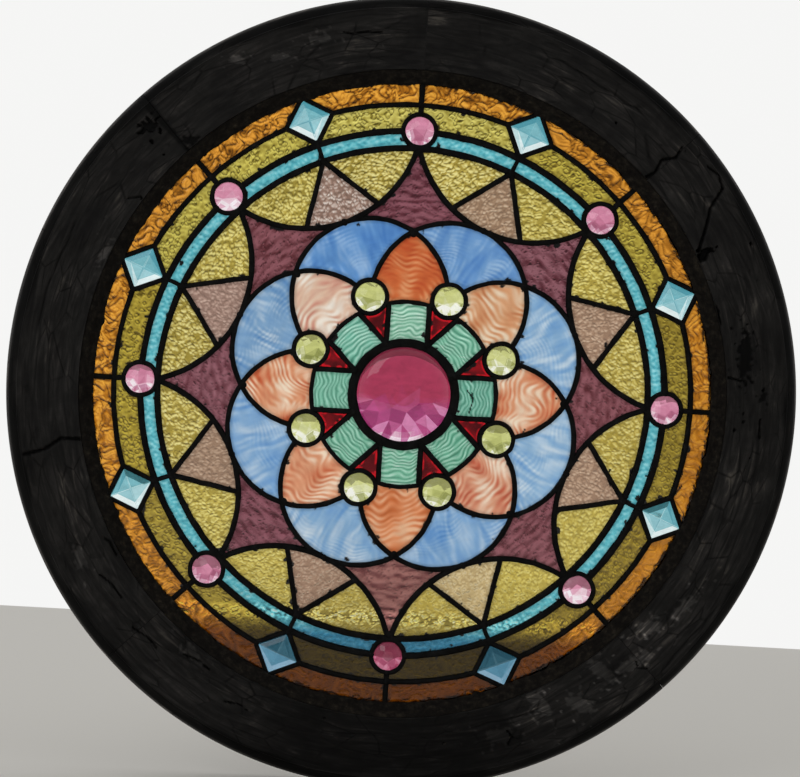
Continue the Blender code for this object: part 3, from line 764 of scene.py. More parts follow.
def wispy(along, out, seed):
    """Feathered bands 7 mm apart that cross the petal in waves."""
    bend = noise.noise(Vector((along / 0.019, out / 0.030, seed))) * 0.013
    lean = along * noise.noise(Vector((seed * 1.3, 0.4, 0.2)))
    firm = max(0.0, 0.35 + 0.8 * noise.noise(Vector((along / 0.016, out / 0.013, seed + 2.0))))
    cloud = noise.noise(Vector((along / 0.016, out / 0.024, seed + 7.0)))
    flecks = noise.noise(Vector((along / 0.009, (out + bend) / 0.003, seed + 11.0)))
    band = math.sin(math.tau * (out + bend + lean) / 0.0062 + 2.5 * cloud)
    return 0.5 + 0.40 * firm * band + 0.65 * cloud + 0.22 * flecks


def streaky(along, out, seed):
    """Long soft streaks that run outwards, crossed by faint ripples."""
    bend = noise.noise(Vector((along / 0.02, out / 0.03, seed))) * 0.012
    streak = noise.noise(Vector(((along + bend) / 0.0055, out / 0.030, seed + 9.0)))
    ripple = math.sin(math.tau * (out + bend * 0.6) / 0.0036)
    firm = max(0.0, noise.noise(Vector((along / 0.018, out / 0.018, seed + 6.0))) + 0.2)
    veil = noise.noise(Vector((along / 0.028, out / 0.020, seed + 4.0)))
    fleck = noise.noise(Vector((along / 0.0030, out / 0.009, seed + 13.0)))
    return 0.47 + 0.42 * streak + 0.20 * firm * ripple + 0.32 * veil + 0.16 * fleck


def even(along, out, seed):
    """Almost flat, with slow draws in the sheet."""
    return 0.5 + 0.4 * noise.noise(Vector((along / 0.010, out / 0.016, seed)))


# Kinds of flat pane: outline, mirrored too or not, grid spacing, relief and its depth, how much the
# height and the slope of the relief paint glints and shade into the colour, material and its settings,
# node or nodes replaced, slot, and for the whole kind or each pane in turn a deep, a middle and a pale
# colour.
# Low is how much of the light is left at the foot of the window, as painted shade.

KINDS = {
    # Cathedral glass rolled with a ripple: clear teal with pale glints along the ripples
    "green_pane": {
        "outline": green_pane, "spacing": 0.0009, "relief": rippled,
        "depth": 0.0005, "height": 0.80, "slope": 0.25,
        "material": ("rippled_teal_cathedral_glass", 0.12, 0.16, 0.007, 0.0012, 0.25),
        "node": "green_and_red_ring", "slot": "green_and_red_glass",
        "shades": [
            ("#47876F", "#8FC9AC", "#D3F3E2"), ("#34745D", "#73B99B", "#BFEBD6"),
            ("#2E6F5C", "#69AE96", "#AEE0CE"),
            ("#2F7058", "#6BB596", "#BFEBD6"), ("#3A7B64", "#79BF9F", "#CDF2E0"),
            ("#34745D", "#70B698", "#BFEBD6"),
            ("#34745D", "#72B49A", "#AFE0CC"), ("#31755F", "#78C0A8", "#C4EEDC"),
        ],
    },
    # Flashed antique glass: deep ruby, almost black, with a bright red line along its edge
    "red_pane": {
        "outline": red_pane, "tuck": RED_REACH - 0.0002, "spacing": 0.0009, "relief": even, "depth": 0.0002,
        "height": 0.7, "slope": 0.5, "bright_edge": 0.0021,
        "material": ("flashed_ruby_antique_glass", 0.08, 0.3, 0.009, 0.0016, 0.15),
        "node": "green_and_red_ring", "slot": "green_and_red_glass",
        "shades": [("#2E0408", "#5A0A11", "#D01322")],
    },
    # Opalescent glass, hand stirred: milky orange to cream, in feathered bands
    "orange_petal": {
        "outline": orange_petal, "spacing": 0.0010, "relief": wispy,
        "depth": 0.0003, "height": 1.0, "slope": 0.5,
        "material": ("wispy_orange_opalescent_glass", 0.30, 0.12, 0.006, 0.0016, 0.3),
        "node": "orange_petal", "slot": "orange_petal_glass",
        "shades": [
            ("#BC4E26", "#D06C3A", "#E49A68"), ("#CB7B4C", "#E0A87C", "#F4DDBF"),
            ("#CC6038", "#E2A078", "#F8E3C8"),
            ("#C86246", "#E0A382", "#F6DEC6"), ("#CB6C38", "#E29060", "#F0BC94"),
            ("#C76A45", "#E2A27C", "#F6DBC0"),
            ("#C95F38", "#E4A47C", "#F9E2C8"), ("#CF8070", "#E8C4AA", "#FBF0E2"),
        ],
    },
    # Opalescent glass, drawn in streaks: sky blue with soft white streaks
    "blue_petal": {
        "outline": blue_petal, "spacing": 0.0011, "relief": streaky,
        "depth": 0.00025, "height": 0.9, "slope": 0.5,
        "material": ("streaky_blue_opalescent_glass", 0.28, 0.10, 0.008, 0.0018, 0.25),
        "node": "blue_petal", "slot": "blue_petal_glass",
        "shades": [
            ("#4A80C4", "#719FD2", "#A9C9E8"), ("#5B93CE", "#8CB4D8", "#D0E1EE"),
            ("#6399D2", "#94BADB", "#DCE9F2"),
            ("#5890CE", "#8AB3DB", "#C6DBEE"), ("#5A92CF", "#8EB6DA", "#D3E3F0"),
            ("#5890CE", "#8AB3DB", "#C6DBEE"),
            ("#5588BE", "#84A9CC", "#CFDEEA"), ("#3F76BE", "#6498D2", "#A4C6EA"),
        ],
    },
    # Pebbled cathedral glass: burgundy, with small dark dots between the pebbles
    "purple_star": {
        "outline": purple_star, "spacing": 0.0009, "relief": pebbled,
        "depth": 0.0004, "height": 1.1, "slope": 1.9,
        "material": ("pebbled_burgundy_glass", 0.18, 0.14, 0.007, 0.0010, 0.3),
        "node": "purple_star", "slot": "purple_star_glass",
        "shades": [
            ("#2C0F15", "#5A2832", "#8C5560"), ("#301217", "#5F2D36", "#925E68"),
            ("#301216", "#5E2B31", "#905860"),
            ("#301216", "#5E2C33", "#905860"), ("#3A1A1A", "#6E3A3A", "#A06C66"),
        ],
    },
    # Hammered cathedral glass: warm brown pink, with round dimples that each catch a glint
    "mauve_pane": {
        "outline": mauve_pane, "spacing": 0.0009, "relief": hammered,
        "depth": 0.0005, "height": -0.30, "slope": 0.90,
        "material": ("hammered_mauve_cathedral_glass", 0.14, 0.14, 0.010, 0.0012, 0.25),
        "node": "yellow_and_mauve_ring", "slot": "yellow_and_mauve_glass",
        "shades": [
            ("#5F4636", "#AC8C70", "#E6CFB4"), ("#63493A", "#AE8D74", "#E0C6AC"),
            ("#63493A", "#AE8D74", "#E0C6AC"),
            ("#8A7040", "#D2B984", "#F4E6BE"), ("#6A4F3E", "#B08E76", "#E0C8B0"),
            ("#63493A", "#A98A72", "#D8BEA6"),
            ("#63493A", "#A6877A", "#D8BCAC"), ("#2E1F19", "#A98878", "#FFF4EA"),
        ],
    },
    # The same hammered glass in straw yellow
    "yellow_pane": {
        "outline": yellow_pane, "mirrored": True, "spacing": 0.0009, "relief": hammered, "depth": 0.0005,
        "height": -0.45, "slope": 1.50, "uneven": 0.35,
        "material": ("hammered_yellow_cathedral_glass", 0.14, 0.14, 0.010, 0.0012, 0.25),
        "node": "yellow_and_mauve_ring", "slot": "yellow_and_mauve_glass",
        "shades": [("#70601A", "#C4AE4E", "#F4E99A"), ("#76661E", "#C8B352", "#F2E690")],
    },
    # Granite-rolled glass: turquoise, with a fine even grain
    "turquoise_strip": {
        "outline": turquoise_strip, "mirrored": True, "spacing": 0.0009, "relief": granite, "depth": 0.0003,
        "height": 0.30, "slope": 0.55, "low": (0.32, 0.50, 0.72),
        "material": ("granite_turquoise_glass", 0.20, 0.12, 0.004, 0.0009, 0.4),
        "node": "turquoise_ring", "slot": "turquoise_glass",
        "shades": [("#2C8496", "#62C0CC", "#AEEBF0")],
    },
    # Seedy glass: olive, full of ring-like bubbles and mottle
    "olive_pane": {
        "outline": olive_pane, "mirrored": True, "spacing": 0.0009, "relief": seedy, "depth": 0.0004,
        "height": 0.7, "slope": 1.1, "uneven": 0.35, "low": (0.26, 0.23, 0.08),
        "material": ("seedy_olive_glass", 0.15, 0.22, 0.004, 0.0010, 0.35),
        "node": "olive_ring", "slot": "olive_glass",
        "shades": [
            ("#332C06", "#9C8C30", "#EBDF78"), ("#302805", "#8C7826", "#D6C454"),
            ("#342A05", "#806C1E", "#C0A944"),
            ("#2C2304", "#776320", "#BFA640"), ("#2C2304", "#776320", "#BFA640"),
            ("#342A05", "#836E20", "#C4AE4A"),
            ("#302805", "#86711E", "#CDB748"), ("#332C06", "#94832C", "#E2D466"),
        ],
    },
    # Crackle glass: amber, crinkled in swirls with dark creases and bright orange glints
    "amber_pane": {
        "outline": amber_pane, "mirrored": True, "spacing": 0.0009, "relief": crackled, "depth": 0.0006,
        "height": 0.65, "slope": 0.85, "uneven": 0.60, "low": (0.37, 0.25, 0.07),
        "material": ("crackle_amber_glass", 0.12, 0.2, 0.006, 0.0012, 0.35),
        "node": "amber_ring", "slot": "amber_glass",
        "shades": [("#3A1C03", "#B97418", "#F4AE40"), ("#3E2004", "#B4731C", "#F0A63C")],
    },
}

# Where a dark crack forks through the green pane on the right: metres along the pane and outwards
PANE_CRACK = [
    (Vector((-0.0060, 0.0615)), Vector((0.0010, 0.0628))),
    (Vector((0.0010, 0.0628)), Vector((0.0150, 0.0612))),
    (Vector((-0.0080, 0.0575)), Vector((0.0010, 0.0628))),
]
CRACKED_PANE = "green_pane_glass_3"

# How far up the relief is read again for its slope, and the spacing of the crumbs of old cement
SLOPE_STEP = 0.0009
CRUMB_SPACING = 0.0065

# Painted glints and shade of the relief are strongest on the upper left and weakest on the lower right
STRONGEST_GLINT_ANGLE = 330.0

# Band under the window's middle where the light behind ends, and the foot that is in shade
LIT_EDGE_DROP = 0.203
LIT_EDGE_WIDTH = 0.006
SHADE_DROP = 0.221
SHADE_SOFTNESS = 0.014

# How far grime and painted shadow reach from the lead, and the grey of old cement
GRIME_AND_SHADOW_REACH = 0.0032
CEMENT_SHADE = 0.004


def toned(tone, shades, cast):
    """Colour for each tone, from deep at 0 through the pane's own colour at a half to pale at 1."""
    deep, middle, pale = [np.array(linear(shade)) * cast for shade in shades]
    low = np.clip(tone * 2.0, 0.0, 1.0)[:, None]
    high = np.clip(tone * 2.0 - 1.0, 0.0, 1.0)[:, None]
    return deep + (middle - deep) * low + (pale - middle) * high


def shaded_at_foot(colours, heights, low):
    """Colours made darker at the foot of the window, as painted shade where less light comes in."""
    clear = np.clip((heights - CENTRE_HEIGHT + SHADE_DROP) / SHADE_SOFTNESS, 0.0, 1.0)[:, None]
    return colours * (np.array(low) + (1.0 - np.array(low)) * clear)


def both_faces(colours, front, pale):
    """Tint of each point. Light takes a part of its colour at each face, so the front face holds what
    the even pale colour of the back one leaves to be done."""
    tint = np.ones((len(colours), 4))
    tint[:, :3] = np.where(front[:, None], colours**2 / pale, pale)
    return tint


def distance_to(points, outline):
    """Distance of flat points to the nearest edge of a closed outline."""
    nearest = np.full(len(points), 1.0)
    for start, stop in zip(outline, outline[1:] + outline[:1]):
        nearest = np.minimum(nearest, distance_to_line(points, start, stop))
    return nearest


def distance_to_line(points, start, stop):
    first = np.array(start)
    along = np.array(stop) - first
    share = np.clip((points - first) @ along / max(along @ along, 1e-12), 0.0, 1.0)
    return np.linalg.norm(points - first - share[:, None] * along, axis=1)


def relief_and_painted_light(facts, along, radius, axis, seed):
    """Relief at each point, and the tone of painted glints and shade from its height and its slope up the
    window.
    """
    draw = facts["relief"]
    turn = math.radians(axis)
    higher_along = along - SLOPE_STEP * math.sin(turn)
    higher_out = radius + SLOPE_STEP * math.cos(turn)
    relief = np.array([draw(a, r, seed) for a, r in zip(along, radius)])
    higher = np.array([draw(a, r, seed) for a, r in zip(higher_along, higher_out)])
    glint_strength = 1.0 + facts.get("uneven", 0.0) * math.cos(math.radians(axis - STRONGEST_GLINT_ANGLE))
    tone = facts["height"] * (relief - 0.5) + facts["slope"] * (relief - higher)
    return np.clip(relief, 0.0, 1.0), 0.5 + tone * glint_strength


def pane_colours(facts, shades, cast, tone, rim, crumbs, heights, seed):
    """Colour of each point from its tone, with the painted glints and shade, the old cement, and the grime
    and painted shadow.
    """
    colour = toned(tone, shades, cast) * np.clip(1.0 + tone, 0.1, 1.0)[:, None]
    # Where the light behind ends, low down, the painted glints and shade of the relief are strongest
    lit_edge = np.exp(-(((heights - CENTRE_HEIGHT + LIT_EDGE_DROP) / LIT_EDGE_WIDTH) ** 2))
    colour *= 1.0 + lit_edge[:, None] * np.clip(5.0 * (tone - 0.45), -0.75, 1.6)[:, None]
    # Old cement clings along the lead in crumbs, and beside it the glass is darkened by grime and painted
    # shadow
    crust = bpy.context.scene.leaded_window_glass.crust
    crusted = rim < crust * np.clip(crumbs * 2.4 - 0.85, 0.0, 1.0)
    grime_and_shadow = np.clip(0.62 + 0.38 * rim / GRIME_AND_SHADOW_REACH, 0.0, 1.0)
    if "bright_edge" in facts:
        grime_and_shadow = np.ones(len(rim))
    colour = np.where(crusted[:, None], CEMENT_SHADE, colour * grime_and_shadow[:, None])
    colour *= 1.0 + 0.08 * noise.noise(Vector((seed * 1.7, 0.5, 0.5)))
    return shaded_at_foot(colour, heights, facts.get("low", (0.5, 0.5, 0.5)))


def lay_pane(kind, base, side, edge, count, number, material):
    """Copy of a cut pane, turned to its place and given its own relief and colour."""
    facts = KINDS[kind]
    middle = facts["outline"]()[1]
    name = f"{kind}_glass_{number}"
    mesh = base.data.copy()
    mesh.name = name
    rim = distance_to(coordinates(mesh)[:, (0, 2)], edge)
    angle = STEP_ANGLE * count
    mesh.transform(Matrix.Rotation(math.radians(angle), 4, "Y"))
    mesh.transform(Matrix.Translation((0.0, 0.0, CENTRE_HEIGHT)))
    piece = bpy.data.objects.new(name, mesh)
    bpy.context.scene.collection.objects.link(piece)
    points = coordinates(mesh)
    axis = angle + side * math.degrees(math.atan2(middle.x, middle.y))
    radius, bearing = ring_places(points)
    along = np.radians(turn_between(bearing, axis)) * middle.length
    seed = number * 3.7 + len(kind)
    relief, tone = relief_and_painted_light(facts, along, radius, axis, seed)
    places = zip(along / CRUMB_SPACING, radius / CRUMB_SPACING)
    crumbs = np.array([noise.noise(Vector((a, r, seed))) for a, r in places])
    if name == CRACKED_PANE:
        place = np.stack([along, radius], axis=1)
        gap = np.min([distance_to_line(place, *ends) for ends in PANE_CRACK], axis=0)
        relief *= np.clip(gap / 0.0010, 0.0, 1.0)
        tone = np.where(gap < 0.0008, -1.0, tone)
    if "bright_edge" in facts:
        bright_line = np.clip(1.4 - rim / facts["bright_edge"], 0.0, 1.0) * np.clip(0.9 + 2.5 * crumbs, 0.0, 1.0)
        tone = np.maximum(tone, bright_line)
    cast = np.array(getattr(bpy.context.scene.leaded_window_colours, kind))
    cast = cast / np.array(linear(facts["shades"][0][1]))
    shades = facts["shades"][count % len(facts["shades"])]
    colour = pane_colours(facts, shades, cast, tone, rim, crumbs, points[:, 2], seed)
    front = points[:, 1] < GLASS_FRONT + 0.00001
    depth = facts["depth"] * bpy.context.scene.leaded_window_glass.relief
    points[front, 1] += (1.0 - relief[front]) * depth
    set_coordinates(mesh, points)
    run = np.stack([along, radius, np.full(len(along), seed * 0.013)], axis=1)
    paint_points(mesh, run, relief, both_faces(colour, front, np.array(linear(shades[2])) * cast))
    mesh.materials.clear()
    mesh.materials.append(material)
    smooth(piece, 50.0)
    node = facts["node"]
    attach(piece, "root")
    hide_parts(node if node.endswith("ring") else f"{node}_{number}")


def lay_panes(kind):
    """Cuts one pane of a kind, and lays its copies round the window."""
    noise.seed_set(NOISE_SEED)
    facts = KINDS[kind]
    edges, middle = facts["outline"]()
    outline = pane_outline(edges, middle, -facts.get("tuck", GLASS_TUCK))
    seen = pane_outline(edges, middle, 0.0)
    material = glass_material(*facts["material"])
    bases = [(glass_slab(kind, outline, facts["spacing"]), 1, seen)]
    if facts.get("mirrored"):
        other = glass_slab(kind + "_mirrored", mirrored(outline), facts["spacing"])
        bases.append((other, -1, mirrored(seen)))
    for count in range(REPEATS):
        for index, (base, side, edge) in enumerate(bases):
            lay_pane(kind, base, side, edge, count, count * len(bases) + index + 1, material)
    for base, side, edge in bases:
        bpy.data.objects.remove(base)


def ring_places(points):
    """Radius and clockwise angle of each point about the window's middle."""
    radius = np.hypot(points[:, 0], points[:, 2] - CENTRE_HEIGHT)
    angle = np.degrees(np.arctan2(points[:, 0], points[:, 2] - CENTRE_HEIGHT)) % 360.0
    return radius, angle


# Shades of the jewels: deep, middle and pale above, and the same below, where they catch the sky

JEWEL_SHADES = {
    "centre_jewel": [("#82263C", "#AC3C5A", "#C25A7C"), ("#84265A", "#BA4C86", "#FFEAF6")],
    "lime_jewel": [("#B0B566", "#CDD182", "#E6E9AC"), ("#7C823C", "#CED284", "#FCFEF0")],
    "pink_jewel": [("#BC6482", "#D98AA8", "#EEB0C6"), ("#9C4C6C", "#DD90AE", "#FFF2F8")],
    "square_jewel": [("#4F9CAC", "#86C6D0", "#D8F4F4"), ("#3A879A", "#7ABECA", "#ECFBFC")],
}


def jewel(name, rings, place, angle):
    """Faceted jewel: the hull of rings of corners, each given by radius, depth, corners and turn."""
    bpy.ops.object.select_all(action="DESELECT")
    centre = polar(place, angle)
    for index, (radius, depth, corners, turn) in enumerate(rings):
        bpy.ops.mesh.primitive_circle_add(
            vertices=corners,
            radius=radius,
            location=(centre.x, depth, CENTRE_HEIGHT + centre.y),
            rotation=(math.pi / 2, math.radians(angle + turn), 0.0),
        )
        if index == 0:
            thing = bpy.context.view_layer.objects.active
            bpy.ops.object.mode_set(mode="EDIT")
    bpy.ops.mesh.select_all(action="SELECT")
    bpy.ops.mesh.convex_hull()
    bpy.ops.mesh.select_all(action="SELECT")
    bpy.ops.mesh.normals_make_consistent(inside=False)
    bpy.ops.object.mode_set(mode="OBJECT")
    bpy.ops.object.transform_apply(location=True, rotation=True, scale=True)
    thing.name = name
    return thing


def jewel_rings(hole, reach, corners, crown, back=None):
    """Rings of a jewel with a girdle tucked into the lead, alike on both sides unless the back is given."""
    rings = [(hole + reach, GLASS_FRONT + 0.0001, corners, 0.0), (hole + reach, GLASS_BACK, corners, 0.0)]
    for side, facets in ((-1, crown), (1, back or crown)):
        rings += [(hole * share, PANEL_MIDDLE + side * depth, *rest) for share, depth, *rest in facets]
    return rings


def set_jewel(piece, kind, material, radius, sectors, seed, node):
    """Gives a jewel its facets' colours, painted with light and shade, and its material, and ties it to the
    frame.

    Facets low down bend the sky into view: painted bright and dark by turns. Those above show the ground:
    painted dull.
    """
    mesh = piece.data
    above, below = JEWEL_SHADES[kind]
    cast = np.array(getattr(bpy.context.scene.leaded_window_colours, kind)) / np.array(linear(above[1]))
    points = coordinates(mesh)
    middle = (points.max(axis=0) + points.min(axis=0)) / 2
    centres = np.array([face.center for face in mesh.polygons]) - middle
    reach = np.hypot(centres[:, 0], centres[:, 2]) / radius
    down = -centres[:, 2] / radius
    around = np.degrees(np.arctan2(centres[:, 0], centres[:, 2])) % 360.0
    sector = np.floor(around * sectors / 360.0)
    places = zip(sector * 1.37, np.round(reach * 5.0) * 0.73)
    odd = np.array([noise.noise(Vector((turn, out, seed * 5.1))) for turn, out in places])
    turns = np.where((sector + np.floor(reach * 4.0)) % 2 > 0, 1.0, -1.0)
    start, soft = (0.02, 0.30) if kind == "centre_jewel" else (-0.05, 0.30)
    low = np.clip((down - start) / soft, 0.0, 1.0)
    if sectors == 4:
        # The bevel is painted white at its lower sides as a highlight, and the pyramid's lower facets painted
        # darker as shade
        bevel = np.where(reach > 0.50, 1.1, -0.55)
        tone = 0.5 + bevel * np.clip(down * 1.4, -0.5, 0.5) + 0.22 * odd
    elif kind == "centre_jewel":
        # Painted light: a highlight along the front's lowest rim, and facets behind painted bright and dark
        # low down, brightest at the foot
        facing = centres[:, 1] < 0.0
        blocks = 0.5 + low * (0.30 * turns + 1.7 * odd) + 0.6 * np.clip((down - 0.66) / 0.15, 0.0, 1.0)
        tone = np.where(facing, 0.5 + 0.5 * np.clip((down - 0.82) / 0.12, 0.0, 1.0), blocks)
    else:
        # Painted light: facets bright and dark by turns, more so low down, with a painted highlight on the
        # lower rim
        tone = 0.56 + (0.06 + 0.40 * low) * turns + 0.22 * odd
        tone += np.where((reach > 0.72) & (down > 0.35), 0.45, 0.0)
    colour = toned(tone, above, cast) * (1.0 - low[:, None]) + toned(tone, below, cast) * low[:, None]
    lows = {"pink_jewel": (0.62, 0.26, 0.36), "square_jewel": (0.30, 0.44, 0.58)}
    colour = shaded_at_foot(colour, centres[:, 2] + middle[2], lows.get(kind, (1.0, 1.0, 1.0)))
    tint = np.ones((len(colour), 4))
    tint[:, :3] = np.clip(colour, 0.0, 1.0)
    run = points - middle
    run[:, 1] = seed * 0.013
    paint_points(mesh, run, np.full(len(points), 0.5), tint, "FACE")
    for face, inward in zip(mesh.polygons, centres[:, 1]):
        face.use_smooth = kind == "centre_jewel" and inward < 0.0
    mesh.materials.clear()
    mesh.materials.append(material)
    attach(piece, "root")
    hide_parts(node)


def lay_jewels(kind, place, angle, rings, material, radius, sectors):
    """Makes one small jewel and its seven copies."""
    base = jewel(kind, rings, place, angle)
    for count in range(REPEATS):
        mesh = base.data.copy()
        mesh.transform(Matrix.Translation((0.0, 0.0, -CENTRE_HEIGHT)))
        mesh.transform(Matrix.Rotation(math.radians(STEP_ANGLE * count), 4, "Y"))
        mesh.transform(Matrix.Translation((0.0, 0.0, CENTRE_HEIGHT)))
        piece = bpy.data.objects.new(f"{kind}_glass_{count + 1}", mesh)
        mesh.name = piece.name
        bpy.context.scene.collection.objects.link(piece)
        set_jewel(piece, kind, material, radius, sectors, count + 1.0, f"{kind}_{count + 1}")
    bpy.data.objects.remove(base)


def holds(outline, point):
    """Whether a point lies inside an outline."""
    inside = False
    for start, stop in zip(outline, outline[1:] + outline[:1]):
        if (start.y > point.y) != (stop.y > point.y):
            crossing = start.x + (point.y - start.y) * (stop.x - start.x) / (stop.y - start.y)
            inside = inside != (crossing > point.x)
    return inside


def net_shell(work, rows, rim_radii, rims):
    """Adds one closed shell of the lead net: walls round every opening and a cap on each side.

    A row is a gap and a depth. The openings widen by the gap, and the rim takes its own radius.
    """
    sides = 180
    loops = []
    for (gap, depth), rim_radius, rim in zip(rows, rim_radii, rims):
        outlines = [ring_points(MIDDLE, rim_radius, sides, 0.0), *lead_openings(gap, rim)]
        level = []
        for outline in outlines:
            level.append([work.verts.new((point.x, depth, point.y + CENTRE_HEIGHT)) for point in outline])
        loops.append(level)
    for lower, upper in zip(loops, loops[1:]):
        for below, above in zip(lower, upper):
            count = len(below)
            for index in range(count):
                after = (index + 1) % count
                work.faces.new((below[index], below[after], above[after], above[index]))
    for level in (loops[0], loops[-1]):
        corners = [vertex for outline in level for vertex in outline]
        flat = [Vector((vertex.co.x, vertex.co.z)) for vertex in corners]
        owners = [number for number, outline in enumerate(level) for vertex in outline]
        edges = []
        holes = []
        start = 0
        for outline in level:
            count = len(outline)
            edges += [(start + index, start + (index + 1) % count) for index in range(count)]
            holes.append(flat[start : start + count])
            start += count
        result = geometry.delaunay_2d_cdt(flat, edges, [], 1, 0.0000001, True)
        for face in result[2]:
            picked = [result[3][index][0] for index in face]
            owned = {owners[index] for index in picked}
            middle = sum((flat[index] for index in picked), Vector((0.0, 0.0))) / 3
            only_owner = owned.pop() if len(owned) == 1 else 0
            if only_owner and holds(holes[only_owner], middle):
                continue
            work.faces.new([corners[index] for index in picked])


def lead_mesh():
    """Lead net with the H section of real came: a domed leaf in front, a heart and a leaf behind."""
    noise.seed_set(NOISE_SEED)
    work = bmesh.new()
    leaf_back = GLASS_FRONT - 0.0003
    front_rows = [
        (-0.0014, LEAD_FRONT),
        (-0.0008, LEAD_FRONT + 0.00025),
        (-0.0003, LEAD_FRONT + 0.0008),
        (0.0, LEAD_FRONT + 0.0017),
        (0.0, leaf_back - 0.0003),
        (-0.0003, leaf_back + 0.0001),
        (-0.0013, leaf_back + 0.00015),
        (-0.0013, GLASS_BACK + 0.00005),
    ]
    outer = LEAD_OUTER_RADIUS - 0.0001
    radii = [outer - 0.0006, outer - 0.0002, outer, outer, outer, outer, outer, outer]
    net_shell(work, front_rows, radii, [RIM_RADIUS] * len(front_rows))
    back_rows = [
        (0.0, GLASS_BACK + 0.0001),
        (0.0, GLASS_BACK + 0.0007),
        (-0.0003, GLASS_BACK + 0.0014),
        (-0.0006, GLASS_BACK + 0.0017),
    ]
    edge = LEDGE_RADIUS - 0.0003
    net_shell(work, back_rows, [edge, edge, edge - 0.0002, edge - 0.0004], [edge - 0.0018] * 4)
    bmesh.ops.recalc_face_normals(work, faces=work.faces)
    mesh = bpy.data.meshes.new("lead_net")
    work.to_mesh(mesh)
    work.free()
    points = coordinates(mesh)
    for point in points:
        radius = math.hypot(point[0], point[2] - CENTRE_HEIGHT)
        if radius < LEAD_OUTER_RADIUS - 0.004:
            sway = noise.noise_vector(Vector(point) / 0.009)
            point[0] += sway.x * 0.0006
            point[2] += sway.z * 0.0006
    set_coordinates(mesh, points)
    return mesh


def solder_places():
    """Radius, angle and size of each lump of solder in one repeat, where cames meet."""
    spread = math.degrees(PINK_JEWEL_RADIUS / PINK_JEWEL_PLACE)
    diamond = math.degrees(SQUARE_CORNER / SQUARE_JEWEL_PLACE)
    fan = math.degrees(FAN_RING_WIDTH / FAN_RING_RADIUS)
    places = [
        (FAN_RING_RADIUS - 0.0040, 0.0, 0.0046),
        (FAN_RING_RADIUS, HALF_STEP, 0.0048),
        (FAN_RING_RADIUS, HALF_STEP + fan, 0.0036),
        (FAN_RING_RADIUS, HALF_STEP - fan, 0.0036),
        (TURQUOISE_RING_RADIUS, HALF_STEP, 0.0034),
        (TURQUOISE_RING_RADIUS, spread * 1.18, 0.0036),
        (TURQUOISE_RING_RADIUS, -spread * 1.18, 0.0036),
        (OLIVE_RING_RADIUS, 0.0, 0.0040),
        (RIM_RADIUS + 0.001, 0.0, 0.0040),
        (OLIVE_RING_RADIUS, HALF_STEP - diamond * 1.12, 0.0034),
        (OLIVE_RING_RADIUS, HALF_STEP + diamond * 1.12, 0.0034),
        (SQUARE_JEWEL_PLACE + SQUARE_CORNER + 0.002, HALF_STEP, 0.0034),
        (SQUARE_JEWEL_PLACE - SQUARE_CORNER - 0.002, HALF_STEP, 0.0034),
        (PINK_JEWEL_PLACE + PINK_JEWEL_RADIUS + 0.002, 0.0, 0.0032),
        (ROSETTE_REACH, HALF_STEP, 0.0042),
        (JEWEL_RING_OUTER - 0.002, HALF_STEP, 0.0042),
        (LIME_JEWEL_PLACE - LIME_JEWEL_RADIUS - 0.002, HALF_STEP, 0.0032),
    ]
    crossing = corner(rosette_edge(HALF_STEP, True), rosette_edge(-HALF_STEP, True), 0.0, polar(0.2, 0.0))
    places.append((crossing.length, 0.0, 0.0042))
    return places


# Operators, one for each piece or group of like pieces


def colour_property(name, kind):
    """Colour of one kind of glass. Its default is the middle shade of the first pane."""
    shades = KINDS[kind]["shades"] if kind in KINDS else JEWEL_SHADES[kind]
    description = f"Own colour of the {name.lower()}"
    default = linear(shades[0][1])
    return bpy.props.FloatVectorProperty(name=name, description=description, subtype="COLOR", default=default)


def length_property(name, description, default):
    return bpy.props.FloatProperty(
        name=name, description=description, default=default, min=0.0, unit="LENGTH"
    )


class GlassColours(bpy.types.PropertyGroup):
    """Own colour of each kind of glass."""

    green_pane: colour_property("Teal panes", "green_pane")
    red_pane: colour_property("Red wedges", "red_pane")
    orange_petal: colour_property("Orange petals", "orange_petal")
    blue_petal: colour_property("Blue petals", "blue_petal")
    purple_star: colour_property("Burgundy stars", "purple_star")
    mauve_pane: colour_property("Mauve panes", "mauve_pane")
    yellow_pane: colour_property("Yellow panes", "yellow_pane")
    turquoise_strip: colour_property("Turquoise strips", "turquoise_strip")
    olive_pane: colour_property("Olive panes", "olive_pane")
    amber_pane: colour_property("Amber panes", "amber_pane")
    centre_jewel: colour_property("Centre jewel", "centre_jewel")
    lime_jewel: colour_property("Lime jewels", "lime_jewel")
    pink_jewel: colour_property("Pink jewels", "pink_jewel")
    square_jewel: colour_property("Square jewels", "square_jewel")


class GlassSizes(bpy.types.PropertyGroup):
    """Sizes of the relief and the dirt on the glass."""

    relief: bpy.props.FloatProperty(
        name="Relief", description="Depth of all the relief, against its own", default=1.0, min=0.0, max=2.0
    )
    crust: length_property("Old cement", "How far crumbs of old cement reach from the lead", 0.0042)
    crown: bpy.props.FloatProperty(
        name="Crown",
        description="Height of the jewels, against the room they have",
        default=1.0,
        min=0.3,
        max=1.0,
    )


class FrameSizes(bpy.types.PropertyGroup):
    """Sizes of the wear on the wood and the putty."""

    crack_depth: length_property("Crack depth", "Depth of the cracks in the wood", 0.0026)
    joint_opening: bpy.props.FloatProperty(
        name="Open joint",
        description="How far each side of the opened joint has moved, in degrees at the outer edge",
        default=0.42,
        min=0.0,
    )
    ragged: length_property("Ragged putty", "How far the putty's inner edge strays", 0.0030)


class LeadSizes(bpy.types.PropertyGroup):
    """Sizes of the lead work that a user would change."""

    solder_height: length_property("Solder height", "How far a solder lump stands above the lead", 0.0006)


